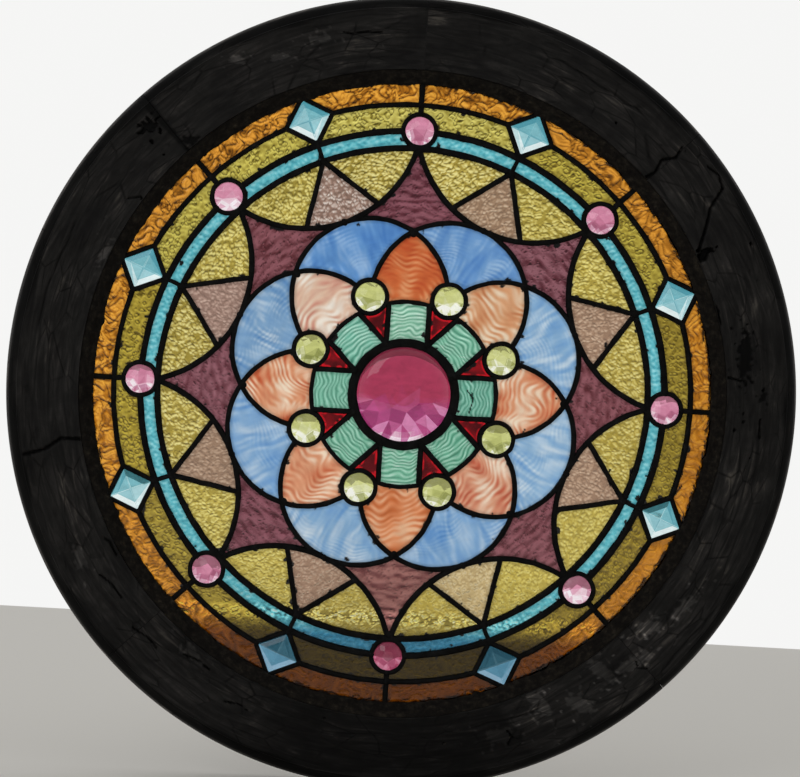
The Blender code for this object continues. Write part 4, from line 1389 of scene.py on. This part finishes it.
class StageLight(bpy.types.PropertyGroup):
    """Light and camera of the stage."""

    behind: bpy.props.FloatProperty(
        name="Light behind", description="Brightness of the sky behind the window", default=0.95
    )
    before: bpy.props.FloatProperty(
        name="Light before", description="Brightness of the room in front of the window", default=0.14
    )
    floor_colour: bpy.props.FloatVectorProperty(
        name="Floor", description="Colour of the floor", subtype="COLOR", default=linear("#D9D6D0")
    )
    lens: bpy.props.FloatProperty(name="Lens", description="Focal length in millimetres", default=99.95)


# Floor, camera and lamp. The camera looks a little down and to the right, and leans as the photo's did.
FLOOR_SIZE = (7.0, 4.06)
FLOOR_MIDDLE = -0.97
CAMERA_PLACE = (-0.0910, LEAD_FRONT - 1.9960, CENTRE_HEIGHT + 0.0573)
CAMERA_GAZE = Vector((0.04363, 0.99871, -0.02609))
CAMERA_LEAN = -3.506
LAMP_PLACE = (-1.6, -2.4, 1.9)
LAMP_AIM = Vector((1.6, 2.4, -1.55))


class LEADED_WINDOW_OT_stage(bpy.types.Operator):
    """Pale floor, soft light and the camera at the photograph's viewing angle."""

    bl_idname = "leaded_window.stage"
    bl_label = "Stage"

    def execute(self, context):
        light = context.scene.leaded_window_light
        bpy.ops.object.select_all(action="DESELECT")
        bpy.ops.mesh.primitive_grid_add(x_subdivisions=8, y_subdivisions=8, size=1.0)
        floor = bpy.context.view_layer.objects.active
        floor.name = "floor"
        floor.scale = (*FLOOR_SIZE, 1.0)
        floor.location = (0.0, FLOOR_MIDDLE, FLOOR_HEIGHT - 0.0002)
        bpy.ops.object.transform_apply(location=True, rotation=True, scale=True)
        material, tree = new_tree("matt_pale_floor")
        finish_tree(tree, {"Base Color": (*light.floor_colour, 1.0), "Roughness": 0.8})
        floor.data.materials.append(material)

        world = bpy.data.worlds.new("soft_studio")
        context.scene.world = world
        world.use_nodes = True
        tree = world.node_tree
        ground = tree.nodes["Background"]
        place = add_node(tree, "ShaderNodeTexCoord").outputs["Generated"]
        parts = add_node(tree, "ShaderNodeSeparateXYZ", links={"Vector": place})
        level = ranged(tree, parts.outputs["Y"], -0.9, 0.5, light.before, light.behind)
        tree.links.new(level, ground.inputs["Strength"])
        ground.inputs["Color"].default_value = (*linear("#FBFBFA"), 1.0)

        bpy.ops.object.light_add(type="AREA", location=LAMP_PLACE)
        lamp = bpy.context.view_layer.objects.active
        lamp.name = "soft_lamp"
        lamp.data.energy = 12.0
        lamp.data.size = 1.6
        lamp.rotation_euler = LAMP_AIM.to_track_quat("-Z", "Y").to_euler()

        bpy.ops.object.camera_add(location=CAMERA_PLACE)
        camera = bpy.context.view_layer.objects.active
        camera.data.lens = light.lens
        camera.data.sensor_width = 36.0
        lean = Quaternion(CAMERA_GAZE, math.radians(CAMERA_LEAN))
        camera.rotation_mode = "QUATERNION"
        camera.rotation_quaternion = lean @ CAMERA_GAZE.to_track_quat("-Z", "Y")
        context.scene.camera = camera
        context.scene.view_settings.view_transform = "Standard"
        return {"FINISHED"}


def spun(name, profile, start, sweep, steps):
    """Solid of a closed profile of radii and depths, spun about the window's axis."""
    bpy.ops.object.select_all(action="DESELECT")
    bpy.ops.mesh.primitive_circle_add(vertices=len(profile), radius=0.1, location=(0.0, 0.0, 0.0))
    thing = bpy.context.view_layer.objects.active
    thing.name = name
    for vertex, (radius, depth) in zip(thing.data.vertices, profile):
        flat = polar(radius, start)
        vertex.co = (flat.x, depth, flat.y + CENTRE_HEIGHT)
    bpy.ops.object.mode_set(mode="EDIT")
    bpy.ops.mesh.select_all(action="SELECT")
    if sweep < 360.0:
        bpy.ops.mesh.edge_face_add()
    bpy.ops.mesh.spin(
        steps=steps,
        angle=math.radians(sweep),
        center=(0.0, 0.0, CENTRE_HEIGHT),
        axis=(0.0, 1.0, 0.0),
    )
    bpy.ops.object.mode_set(mode="OBJECT")
    clean_up(thing, 0.00001)
    return thing


def move_to(points, radius, angle):
    turn = np.radians(angle)
    points[:, 0] = radius * np.sin(turn)
    points[:, 2] = radius * np.cos(turn) + CENTRE_HEIGHT


# Cracks in the face of the frame: half width in metres, and points as angle and radius
CRACKS = [
    (0.0016, [(257.7, 0.3420), (258.0, 0.3240), (259.4, 0.3080), (258.8, 0.2890), (256.0, 0.2840)]),
    (0.0015, [(53.6, 0.3400), (55.1, 0.3217), (57.4, 0.3100), (60.1, 0.2956)]),
    (0.0011, [(60.1, 0.2956), (63.3, 0.2862), (68.1, 0.2857), (71.6, 0.2918), (74.5, 0.2900)]),
    (0.0013, [(44.2, 0.2860), (44.9, 0.3000), (44.1, 0.3120), (45.4, 0.3230), (44.8, 0.3330)]),
    (0.0010, [(83.9, 0.2820), (83.5, 0.2920), (84.2, 0.3030)]),
    (0.0009, [(49.5, 0.3400), (51.5, 0.3440), (53.6, 0.3400)]),
    (0.0010, [(90.5, 0.3210), (93.5, 0.3220)]),
    (0.0007, [(347.0, 0.3270), (348.5, 0.3240), (350.0, 0.3250), (353.0, 0.3230)]),
    (0.0007, [(236.0, 0.3150), (234.0, 0.3110), (231.0, 0.3100)]),
    (0.0007, [(226.0, 0.3190), (223.0, 0.3150), (221.0, 0.3160)]),
    (0.0008, [(217.0, 0.3040), (214.0, 0.3000), (212.0, 0.3010)]),
    (0.0007, [(207.0, 0.3180), (205.0, 0.3140), (203.0, 0.3150)]),
    (0.0008, [(241.0, 0.2960), (240.0, 0.2930), (237.5, 0.2940)]),
    (0.0008, [(302.0, 0.3010), (303.5, 0.2930), (302.5, 0.2860)]),
    (0.0007, [(135.0, 0.3300), (136.0, 0.3240), (135.5, 0.3180)]),
    (0.0007, [(160.0, 0.3280), (159.0, 0.3230), (159.5, 0.3160)]),
]

# Splits along the grain: radius, first and last angle, half their width in metres
SPLITS = [
    (0.3300, 276.0, 296.0, 0.0006),
    (0.3390, 120.0, 134.0, 0.0006),
    (0.3280, 20.0, 38.0, 0.0005),
    (0.3060, 150.0, 166.0, 0.0005),
]

# Places where paint and wood have come off: angle, radius, half size along and across, depth
CHIPS = [
    (61.6, 0.2940, 0.0040, 0.0072, 0.0060),
    (80.5, 0.3085, 0.0180, 0.0055, 0.0016),
    (87.0, 0.3230, 0.0040, 0.0030, 0.0012),
    (313.0, 0.3290, 0.0060, 0.0050, 0.0030),
    (316.5, 0.2960, 0.0060, 0.0040, 0.0012),
    (292.0, 0.2940, 0.0085, 0.0034, 0.0010),
    (343.0, 0.3260, 0.0080, 0.0030, 0.0005),
    (336.0, 0.3200, 0.0060, 0.0030, 0.0005),
    (330.0, 0.3330, 0.0060, 0.0030, 0.0005),
    (124.0, 0.3160, 0.0120, 0.0040, 0.0004),
    (130.0, 0.3040, 0.0090, 0.0060, 0.0004),
    (136.0, 0.3180, 0.0150, 0.0050, 0.0004),
    (141.0, 0.3060, 0.0060, 0.0110, 0.0004),
    (147.0, 0.3200, 0.0080, 0.0090, 0.0004),
    (153.0, 0.3020, 0.0070, 0.0120, 0.0004),
    (161.0, 0.3180, 0.0100, 0.0060, 0.0004),
    (216.0, 0.2980, 0.0080, 0.0040, 0.0006),
    (240.0, 0.3240, 0.0080, 0.0040, 0.0006),
]
QUARTERS = {"frame_top": -45.0, "frame_right": 45.0, "frame_bottom": 135.0, "frame_left": 225.0}
OPEN_JOINT = 315.0

# Length of a degree round the frame's face, radius that its grain is measured at, and its mesh's fineness
DEGREE_LENGTH = 0.0057
GRAIN_RADIUS = 0.32
FACE_STRIPS = 44
QUARTER_STEPS = 380


def turn_between(angle, place):
    """Signed angle from a place to each angle."""
    return (angle - place + 180.0) % 360.0 - 180.0


def frame_profile():
    """Section of the frame as radii and depths, with its face in narrow strips."""
    face = -FRAME_DEPTH
    inner = REBATE_RADIUS
    outer = FRAME_FACE_RADIUS
    edge = FRAME_OUTER_RADIUS
    profile = [
        (LEDGE_RADIUS, -0.0006), (LEDGE_RADIUS + 0.0006, 0.0), (edge - 0.0010, 0.0), (edge, -0.0010),
        (edge, -0.0150), (edge, -0.0290), (edge - 0.0004, -0.0325), (edge - 0.0016, -0.0355),
        (edge - 0.0036, -0.0380), (edge - 0.0062, -0.0398), (outer + 0.0003, -0.0409),
        (outer, face + 0.0012), (outer - 0.0004, face + 0.0004), (outer - 0.0012, face),
    ]
    width = outer - inner - 0.0024
    profile += [(outer - 0.0012 - width * step / FACE_STRIPS, face) for step in range(1, FACE_STRIPS + 1)]
    profile += [(inner + 0.0003, face + 0.0004), (inner, face + 0.0012), (inner, face + 0.011)]
    return profile + [(inner, -0.0220), (LEDGE_RADIUS + 0.0004, -0.0220), (LEDGE_RADIUS, -0.0216)]


def swell_face(points, radius, angle, depth, top):
    """Swells the face along its grain, and gives each point's relief, which lightens the paint."""
    relief = np.ones(len(points))
    for count, arc in enumerate(angle * DEGREE_LENGTH):
        swell = noise.noise(Vector((arc / 0.030, radius[count] / 0.0032, depth[count] / 0.006)))
        broad = noise.noise(Vector((arc / 0.055, radius[count] / 0.024, 2.0)))
        fine = noise.noise(Vector((arc / 0.008, radius[count] / 0.005, 6.0)))
        if top[count]:
            points[count, 1] += 0.00055 + 0.00020 * swell + 0.00035 * broad + 0.00010 * fine
        relief[count] += 0.45 * broad + 0.15 * fine
    return relief


def dark_places_and_rim_highlight(relief, radius, angle, depth, top):
    """Relief with the frame's dark places and its painted rim highlight.

    The band outside the face is blacker, with a wavering border, and its last edge is painted bright as a
    highlight. The foot of the frame is darker, up to a sharp edge on the right.
    """
    turn = np.radians(angle)
    waver = 0.0016 * np.sin(turn * 13.0) + 0.0010 * np.sin(turn * 37.0 + 1.0)
    outside = np.clip((radius - FRAME_FACE_RADIUS + 0.0020 + waver) / 0.0024, 0.0, 1.0) * (depth < -0.020)
    dark_foot = np.clip((angle - 158.0 + 60.0 * (radius - 0.31)) / 1.2, 0.0, 1.0)
    dark_foot *= np.clip((206.0 - angle) / 14.0, 0.0, 1.0)
    # Painted highlight: the last outer edge is painted bright
    wear_and_rim_highlight = np.clip((radius - FRAME_OUTER_RADIUS + 0.0032) / 0.0030, 0.0, 1.0) * (depth < -0.030)
    return relief * (1.0 - 0.80 * outside) * (1.0 - 0.55 * dark_foot * top) + 7.0 * wear_and_rim_highlight


def carve_marks(points, relief, radius, angle, top):
    """Cuts the cracks, splits and chips into the face, and gives the relief with them."""
    flat = np.stack([points[:, 0], points[:, 2] - CENTRE_HEIGHT], axis=1)
    ragged = np.array([noise.noise(Vector((x / 0.004, y / 0.004, 3.0))) for x, y in flat])
    crack_depth = bpy.context.scene.leaded_window_frame.crack_depth
    for half_width, places in CRACKS:
        corners = [polar(place, crack_angle) for crack_angle, place in places]
        gaps = [distance_to_line(flat, *ends) for ends in zip(corners, corners[1:])]
        near = np.min(gaps, axis=0) / (half_width * (1.0 + 0.5 * ragged))
        deep = np.clip(1.35 - near, 0.0, 1.0) * top
        points[:, 1] += deep * crack_depth
        relief = relief * (1.0 - min(0.93, half_width / 0.0013) * deep)
    for split_radius, first, last, half_width in SPLITS:
        share = (angle - first) / (last - first)
        wander = 0.0011 * np.sin(share * 7.0 + first) + 0.0004 * np.sin(share * 23.0)
        deep = np.clip(1.2 - np.abs(radius - split_radius - wander) / (half_width + 0.0006), 0.0, 1.0)
        deep *= np.clip(np.minimum(share, 1.0 - share) * 9.0, 0.0, 1.0) * top
        points[:, 1] += deep * 0.0009
        relief = relief * (1.0 - 0.75 * deep)
    for chip_angle, chip_radius, half_along, half_across, chip_depth in CHIPS:
        along = np.radians(turn_between(angle, chip_angle)) * chip_radius / half_along
        across = (radius - chip_radius) / half_across
        reach = np.maximum(np.abs(along + 0.3 * across), np.abs(across))
        reach += 0.25 * np.sin(along * 3.0) * across
        deep = np.clip((1.15 - reach * (1.0 + 1.1 * ragged)) / 0.28, 0.0, 1.0) * top
        points[:, 1] += deep * chip_depth
        # Deep ones are holes and old repairs, dark, with painted shade in the holes. Shallow ones show bare
        # grey wood.
        shown = 0.10 if chip_depth > 0.0010 else 2.7
        relief = relief * (1.0 - deep) + relief * shown * deep
    return relief


def open_joint(points, relief, radius, angle, depth):
    """Leans both sides of the opened joint away from each other, at the face but not at the back."""
    turn = turn_between(angle, OPEN_JOINT)
    fade = np.clip(1.0 - np.abs(turn) / 3.0, 0.0, 1.0)
    share = np.clip((radius - REBATE_RADIUS) / (FRAME_OUTER_RADIUS - REBATE_RADIUS), 0.12, 1.0)
    forward = np.clip((-depth - 0.024) / 0.016, 0.0, 1.0)
    lean = np.where(turn > 0.0, 1.0, -1.0) * fade * share * forward
    move_to(points, radius, angle + lean * bpy.context.scene.leaded_window_frame.joint_opening)
    return relief * (1.0 - 0.85 * np.clip(1.4 - np.abs(turn) / 0.4, 0.0, 1.0))


class LEADED_WINDOW_OT_frame(bpy.types.Operator):
    """Four curved quarters of painted wood, with grain, cracks and one joint that has opened."""

    bl_idname = "leaded_window.frame"
    bl_label = "Wood frame"

    def execute(self, context):
        paint = paint_material()
        profile = frame_profile()
        joint = math.degrees(0.0003 / LEDGE_RADIUS)
        for index, (node, start) in enumerate(QUARTERS.items()):
            piece = spun(node + "_wood", profile, start + joint / 2, 90.0 - joint, QUARTER_STEPS)
            points = coordinates(piece.data)
            radius, angle = ring_places(points)
            depth = points[:, 1].copy()
            top = depth < -FRAME_DEPTH + 0.0002
            relief = swell_face(points, radius, angle, depth, top)
            relief = dark_places_and_rim_highlight(relief, radius, angle, depth, top)
            relief = carve_marks(points, relief, radius, angle, top)
            relief = open_joint(points, relief, radius, angle, depth)
            set_coordinates(piece.data, points)
            layer = np.full(len(radius), index)
            run = np.stack([np.radians(angle) * GRAIN_RADIUS, radius + depth, layer], axis=1)
            paint_points(piece.data, run, np.clip(relief, 0.03, 9.0))
            piece.data.materials.append(paint)
            smooth(piece, 40.0)
            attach(piece, "root")
            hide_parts(node)
        return {"FINISHED"}


class LEADED_WINDOW_OT_putty(bpy.types.Operator):
    """Bead of old putty in the rebate, with a ragged inner edge."""

    bl_idname = "leaded_window.putty"
    bl_label = "Putty bead"

    def execute(self, context):
        reach = context.scene.leaded_window_frame.ragged
        wall = REBATE_RADIUS - 0.0003
        toe = REBATE_RADIUS - 0.0113
        under = LEAD_FRONT - 0.0003
        top = under - 0.0125
        profile = [
            (toe, under), (wall, under), (wall, (under + top) / 2), (wall, top),
            (wall - 0.0012, top + 0.0004),
            (wall - 0.0026, top + 0.0014), (wall - 0.0045, top + 0.0035), (wall - 0.0064, under - 0.0062),
            (wall - 0.0082, under - 0.0042), (wall - 0.0097, under - 0.0026), (toe + 0.0003, under - 0.0013),
        ]
        piece = spun("putty", profile, 0.0, 360.0, 900)
        points = coordinates(piece.data)
        radius, angle = ring_places(points)
        for count in range(len(points)):
            depth = points[count, 1]
            share = np.clip((wall - radius[count]) / (wall - toe), 0.0, 1.0)
            turn = math.radians(angle[count])
            around = Vector((math.cos(turn), math.sin(turn), 0.0)) * 0.28
            ragged = noise.noise(around / 0.020 + Vector((0.0, 0.0, depth / 0.02)))
            crumbs = noise.noise(around / 0.0050 + Vector((0.0, 0.0, depth / 0.004)))
            teeth = max(0.0, noise.noise(around / 0.0085 + Vector((3.0, 1.0, 0.0))) - 0.15)
            heavy = 0.5 + 0.5 * math.cos(turn - math.radians(OPEN_JOINT))
            radius[count] -= share * reach * (0.55 * ragged + 0.30 * crumbs + 1.5 * teeth + 0.2 * heavy)
            if depth < under - 0.0005:
                points[count, 1] = min(depth + 0.0009 * crumbs + 0.0009 * ragged, under - 0.0004)
        move_to(points, np.minimum(radius, wall), angle)
        set_coordinates(piece.data, points)
        piece.data.materials.append(putty_material())
        smooth(piece, 60.0)
        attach(piece, "root")
        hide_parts("putty_bead")
        return {"FINISHED"}


class LEADED_WINDOW_OT_lead(bpy.types.Operator):
    """The net of lead came, soldered where its lengths meet."""

    bl_idname = "leaded_window.lead"
    bl_label = "Lead came"

    def execute(self, context):
        height = context.scene.leaded_window_lead.solder_height
        net = bpy.data.objects.new("lead_net", lead_mesh())
        bpy.context.scene.collection.objects.link(net)
        lumps = []
        for count in range(REPEATS):
            for place, angle, size in solder_places():
                middle = polar(place, angle + STEP_ANGLE * count)
                location = (middle.x, LEAD_FRONT + 0.0003, CENTRE_HEIGHT + middle.y)
                bpy.ops.object.select_all(action="DESELECT")
                bpy.ops.mesh.primitive_uv_sphere_add(segments=16, ring_count=8, location=location)
                lump = bpy.context.view_layer.objects.active
                odd = noise.noise(Vector((middle.x, middle.y, 0.0)) * 90.0)
                lump.scale = (size * (0.72 + 0.3 * odd), height + 0.0006, size * (0.72 - 0.3 * odd))
                lump.rotation_euler = (0.0, odd * 3.0, 0.0)
                lumps.append(lump)
        only(*lumps)
        bpy.ops.object.transform_apply(location=True, rotation=True, scale=True)
        only(net, *lumps)
        bpy.ops.object.join()
        net.data.materials.append(lead_material())
        smooth(net, 50.0)
        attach(net, "root")
        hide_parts("lead_came")
        return {"FINISHED"}


class LEADED_WINDOW_OT_flower(bpy.types.Operator):
    """Rippled teal panes and deep red wedges round the centre."""

    bl_idname = "leaded_window.flower"
    bl_label = "Green and red panes"

    def execute(self, context):
        lay_panes("green_pane")
        lay_panes("red_pane")
        return {"FINISHED"}


class LEADED_WINDOW_OT_petals(bpy.types.Operator):
    """Orange and blue opalescent petals."""

    bl_idname = "leaded_window.petals"
    bl_label = "Petals"

    def execute(self, context):
        lay_panes("orange_petal")
        lay_panes("blue_petal")
        return {"FINISHED"}


class LEADED_WINDOW_OT_stars(bpy.types.Operator):
    """Burgundy four-pointed stars."""

    bl_idname = "leaded_window.stars"
    bl_label = "Stars"

    def execute(self, context):
        lay_panes("purple_star")
        return {"FINISHED"}


class LEADED_WINDOW_OT_fan(bpy.types.Operator):
    """Hammered yellow and mauve panes under the arches."""

    bl_idname = "leaded_window.fan"
    bl_label = "Fan panes"

    def execute(self, context):
        lay_panes("mauve_pane")
        lay_panes("yellow_pane")
        return {"FINISHED"}


class LEADED_WINDOW_OT_bands(bpy.types.Operator):
    """Turquoise, olive and amber panes of the three outer bands."""

    bl_idname = "leaded_window.bands"
    bl_label = "Outer bands"

    def execute(self, context):
        lay_panes("turquoise_strip")
        lay_panes("olive_pane")
        lay_panes("amber_pane")
        return {"FINISHED"}


class LEADED_WINDOW_OT_centre_jewel(bpy.types.Operator):
    """Large pressed ruby jewel in the middle, smooth in front and cut in facets behind."""

    bl_idname = "leaded_window.centre_jewel"
    bl_label = "Centre jewel"

    def execute(self, context):
        half = (JEWEL_HIGH.y - JEWEL_LOW.y) / 2 * context.scene.leaded_window_glass.crown
        front = [
            (0.985, 0.0022, 72, 0.0), (0.92, half * 0.50, 72, 2.5), (0.80, half * 0.68, 72, 0.0),
            (0.64, half * 0.83, 72, 2.5), (0.45, half * 0.93, 72, 0.0), (0.24, half * 0.99, 72, 2.5),
        ]
        back = [
            (0.985, 0.0022, 28, 0.0), (0.84, half * 0.52, 14, 12.9), (0.62, half * 0.76, 14, 0.0),
            (0.38, half * 0.93, 7, 12.9),
        ]
        rings = jewel_rings(CENTRE_JEWEL_RADIUS, 0.0010, 72, front, back)
        # Pressed ruby glass, fire polished: facets that bend the sky and the ground into each other
        material = glass_material("pressed_ruby_jewel_glass", 0.02, 0.16, 0.006, 0.003, 0.05)
        piece = jewel("centre_jewel_glass", rings, 0.0, 0.0)
        set_jewel(piece, "centre_jewel", material, CENTRE_JEWEL_RADIUS, 28, 1.0, "centre_jewel")
        return {"FINISHED"}


class LEADED_WINDOW_OT_small_jewels(bpy.types.Operator):
    """Eight each of the lime, pink and square jewels."""

    bl_idname = "leaded_window.small_jewels"
    bl_label = "Small jewels"

    def execute(self, context):
        half = (SMALL_HIGH.y - SMALL_LOW.y) / 2 * context.scene.leaded_window_glass.crown
        crown = [(0.97, 0.0016, 20, 0.0), (0.74, half * 0.70, 10, 18.0), (0.44, half, 5, 0.0)]
        # Pressed glass, fire polished: small sharp facets, painted bright at one edge and dark at the other
        lime = glass_material("pressed_lime_jewel_glass", 0.03, 0.12, 0.004, 0.002, 0.05)
        rings = jewel_rings(LIME_JEWEL_RADIUS, 0.0010, 20, crown)
        lay_jewels("lime_jewel", LIME_JEWEL_PLACE, HALF_STEP, rings, lime, LIME_JEWEL_RADIUS, 20)
        pink = glass_material("pressed_pink_jewel_glass", 0.03, 0.12, 0.004, 0.002, 0.05)
        rings = jewel_rings(PINK_JEWEL_RADIUS, 0.0010, 20, crown)
        lay_jewels("pink_jewel", PINK_JEWEL_PLACE, 0.0, rings, pink, PINK_JEWEL_RADIUS, 20)
        # Bevelled and polished pale blue glass, cut to a low pyramid of four facets
        blue = glass_material("bevelled_pale_blue_jewel_glass", 0.03, 0.12, 0.004, 0.002, 0.05)
        crown = [(0.97, 0.0016, 4, 0.0), (0.66, half * 0.66, 4, 0.0), (0.03, half * 0.98, 4, 0.0)]
        rings = jewel_rings(SQUARE_CORNER, 0.0014, 4, crown)
        lay_jewels("square_jewel", SQUARE_JEWEL_PLACE, HALF_STEP, rings, blue, SQUARE_CORNER, 4)
        return {"FINISHED"}


BUILDERS = [
    LEADED_WINDOW_OT_stage,
    LEADED_WINDOW_OT_frame,
    LEADED_WINDOW_OT_putty,
    LEADED_WINDOW_OT_lead,
    LEADED_WINDOW_OT_flower,
    LEADED_WINDOW_OT_petals,
    LEADED_WINDOW_OT_stars,
    LEADED_WINDOW_OT_fan,
    LEADED_WINDOW_OT_bands,
    LEADED_WINDOW_OT_centre_jewel,
    LEADED_WINDOW_OT_small_jewels,
]


SETTINGS = {
    "leaded_window_colours": GlassColours,
    "leaded_window_glass": GlassSizes,
    "leaded_window_frame": FrameSizes,
    "leaded_window_lead": LeadSizes,
    "leaded_window_light": StageLight,
}


class LEADED_WINDOW_PT_panel(bpy.types.Panel):
    """Settings of the window, and buttons for its pieces."""

    bl_idname = "LEADED_WINDOW_PT_panel"
    bl_label = "Leaded window"
    bl_space_type = "VIEW_3D"
    bl_region_type = "UI"
    bl_category = "Leaded window"

    def draw(self, context):
        layout = self.layout
        for name, group in SETTINGS.items():
            for setting in group.__annotations__:
                layout.prop(getattr(context.scene, name), setting)
        for builder in BUILDERS:
            layout.operator(builder.bl_idname)


CLASSES = [*SETTINGS.values(), *BUILDERS, LEADED_WINDOW_PT_panel]


def register():
    for kind in CLASSES:
        bpy.utils.register_class(kind)
    for name, group in SETTINGS.items():
        setattr(bpy.types.Scene, name, bpy.props.PointerProperty(type=group))


def unregister():
    for name in SETTINGS:
        delattr(bpy.types.Scene, name)
    for kind in reversed(CLASSES):
        bpy.utils.unregister_class(kind)


def main():
    register()
    bpy.ops.leaded_window.stage()
    bpy.ops.leaded_window.frame()
    bpy.ops.leaded_window.putty()
    bpy.ops.leaded_window.lead()
    bpy.ops.leaded_window.flower()
    bpy.ops.leaded_window.petals()
    bpy.ops.leaded_window.stars()
    bpy.ops.leaded_window.fan()
    bpy.ops.leaded_window.bands()
    bpy.ops.leaded_window.centre_jewel()
    bpy.ops.leaded_window.small_jewels()


if __name__ == "__main__":
    main()
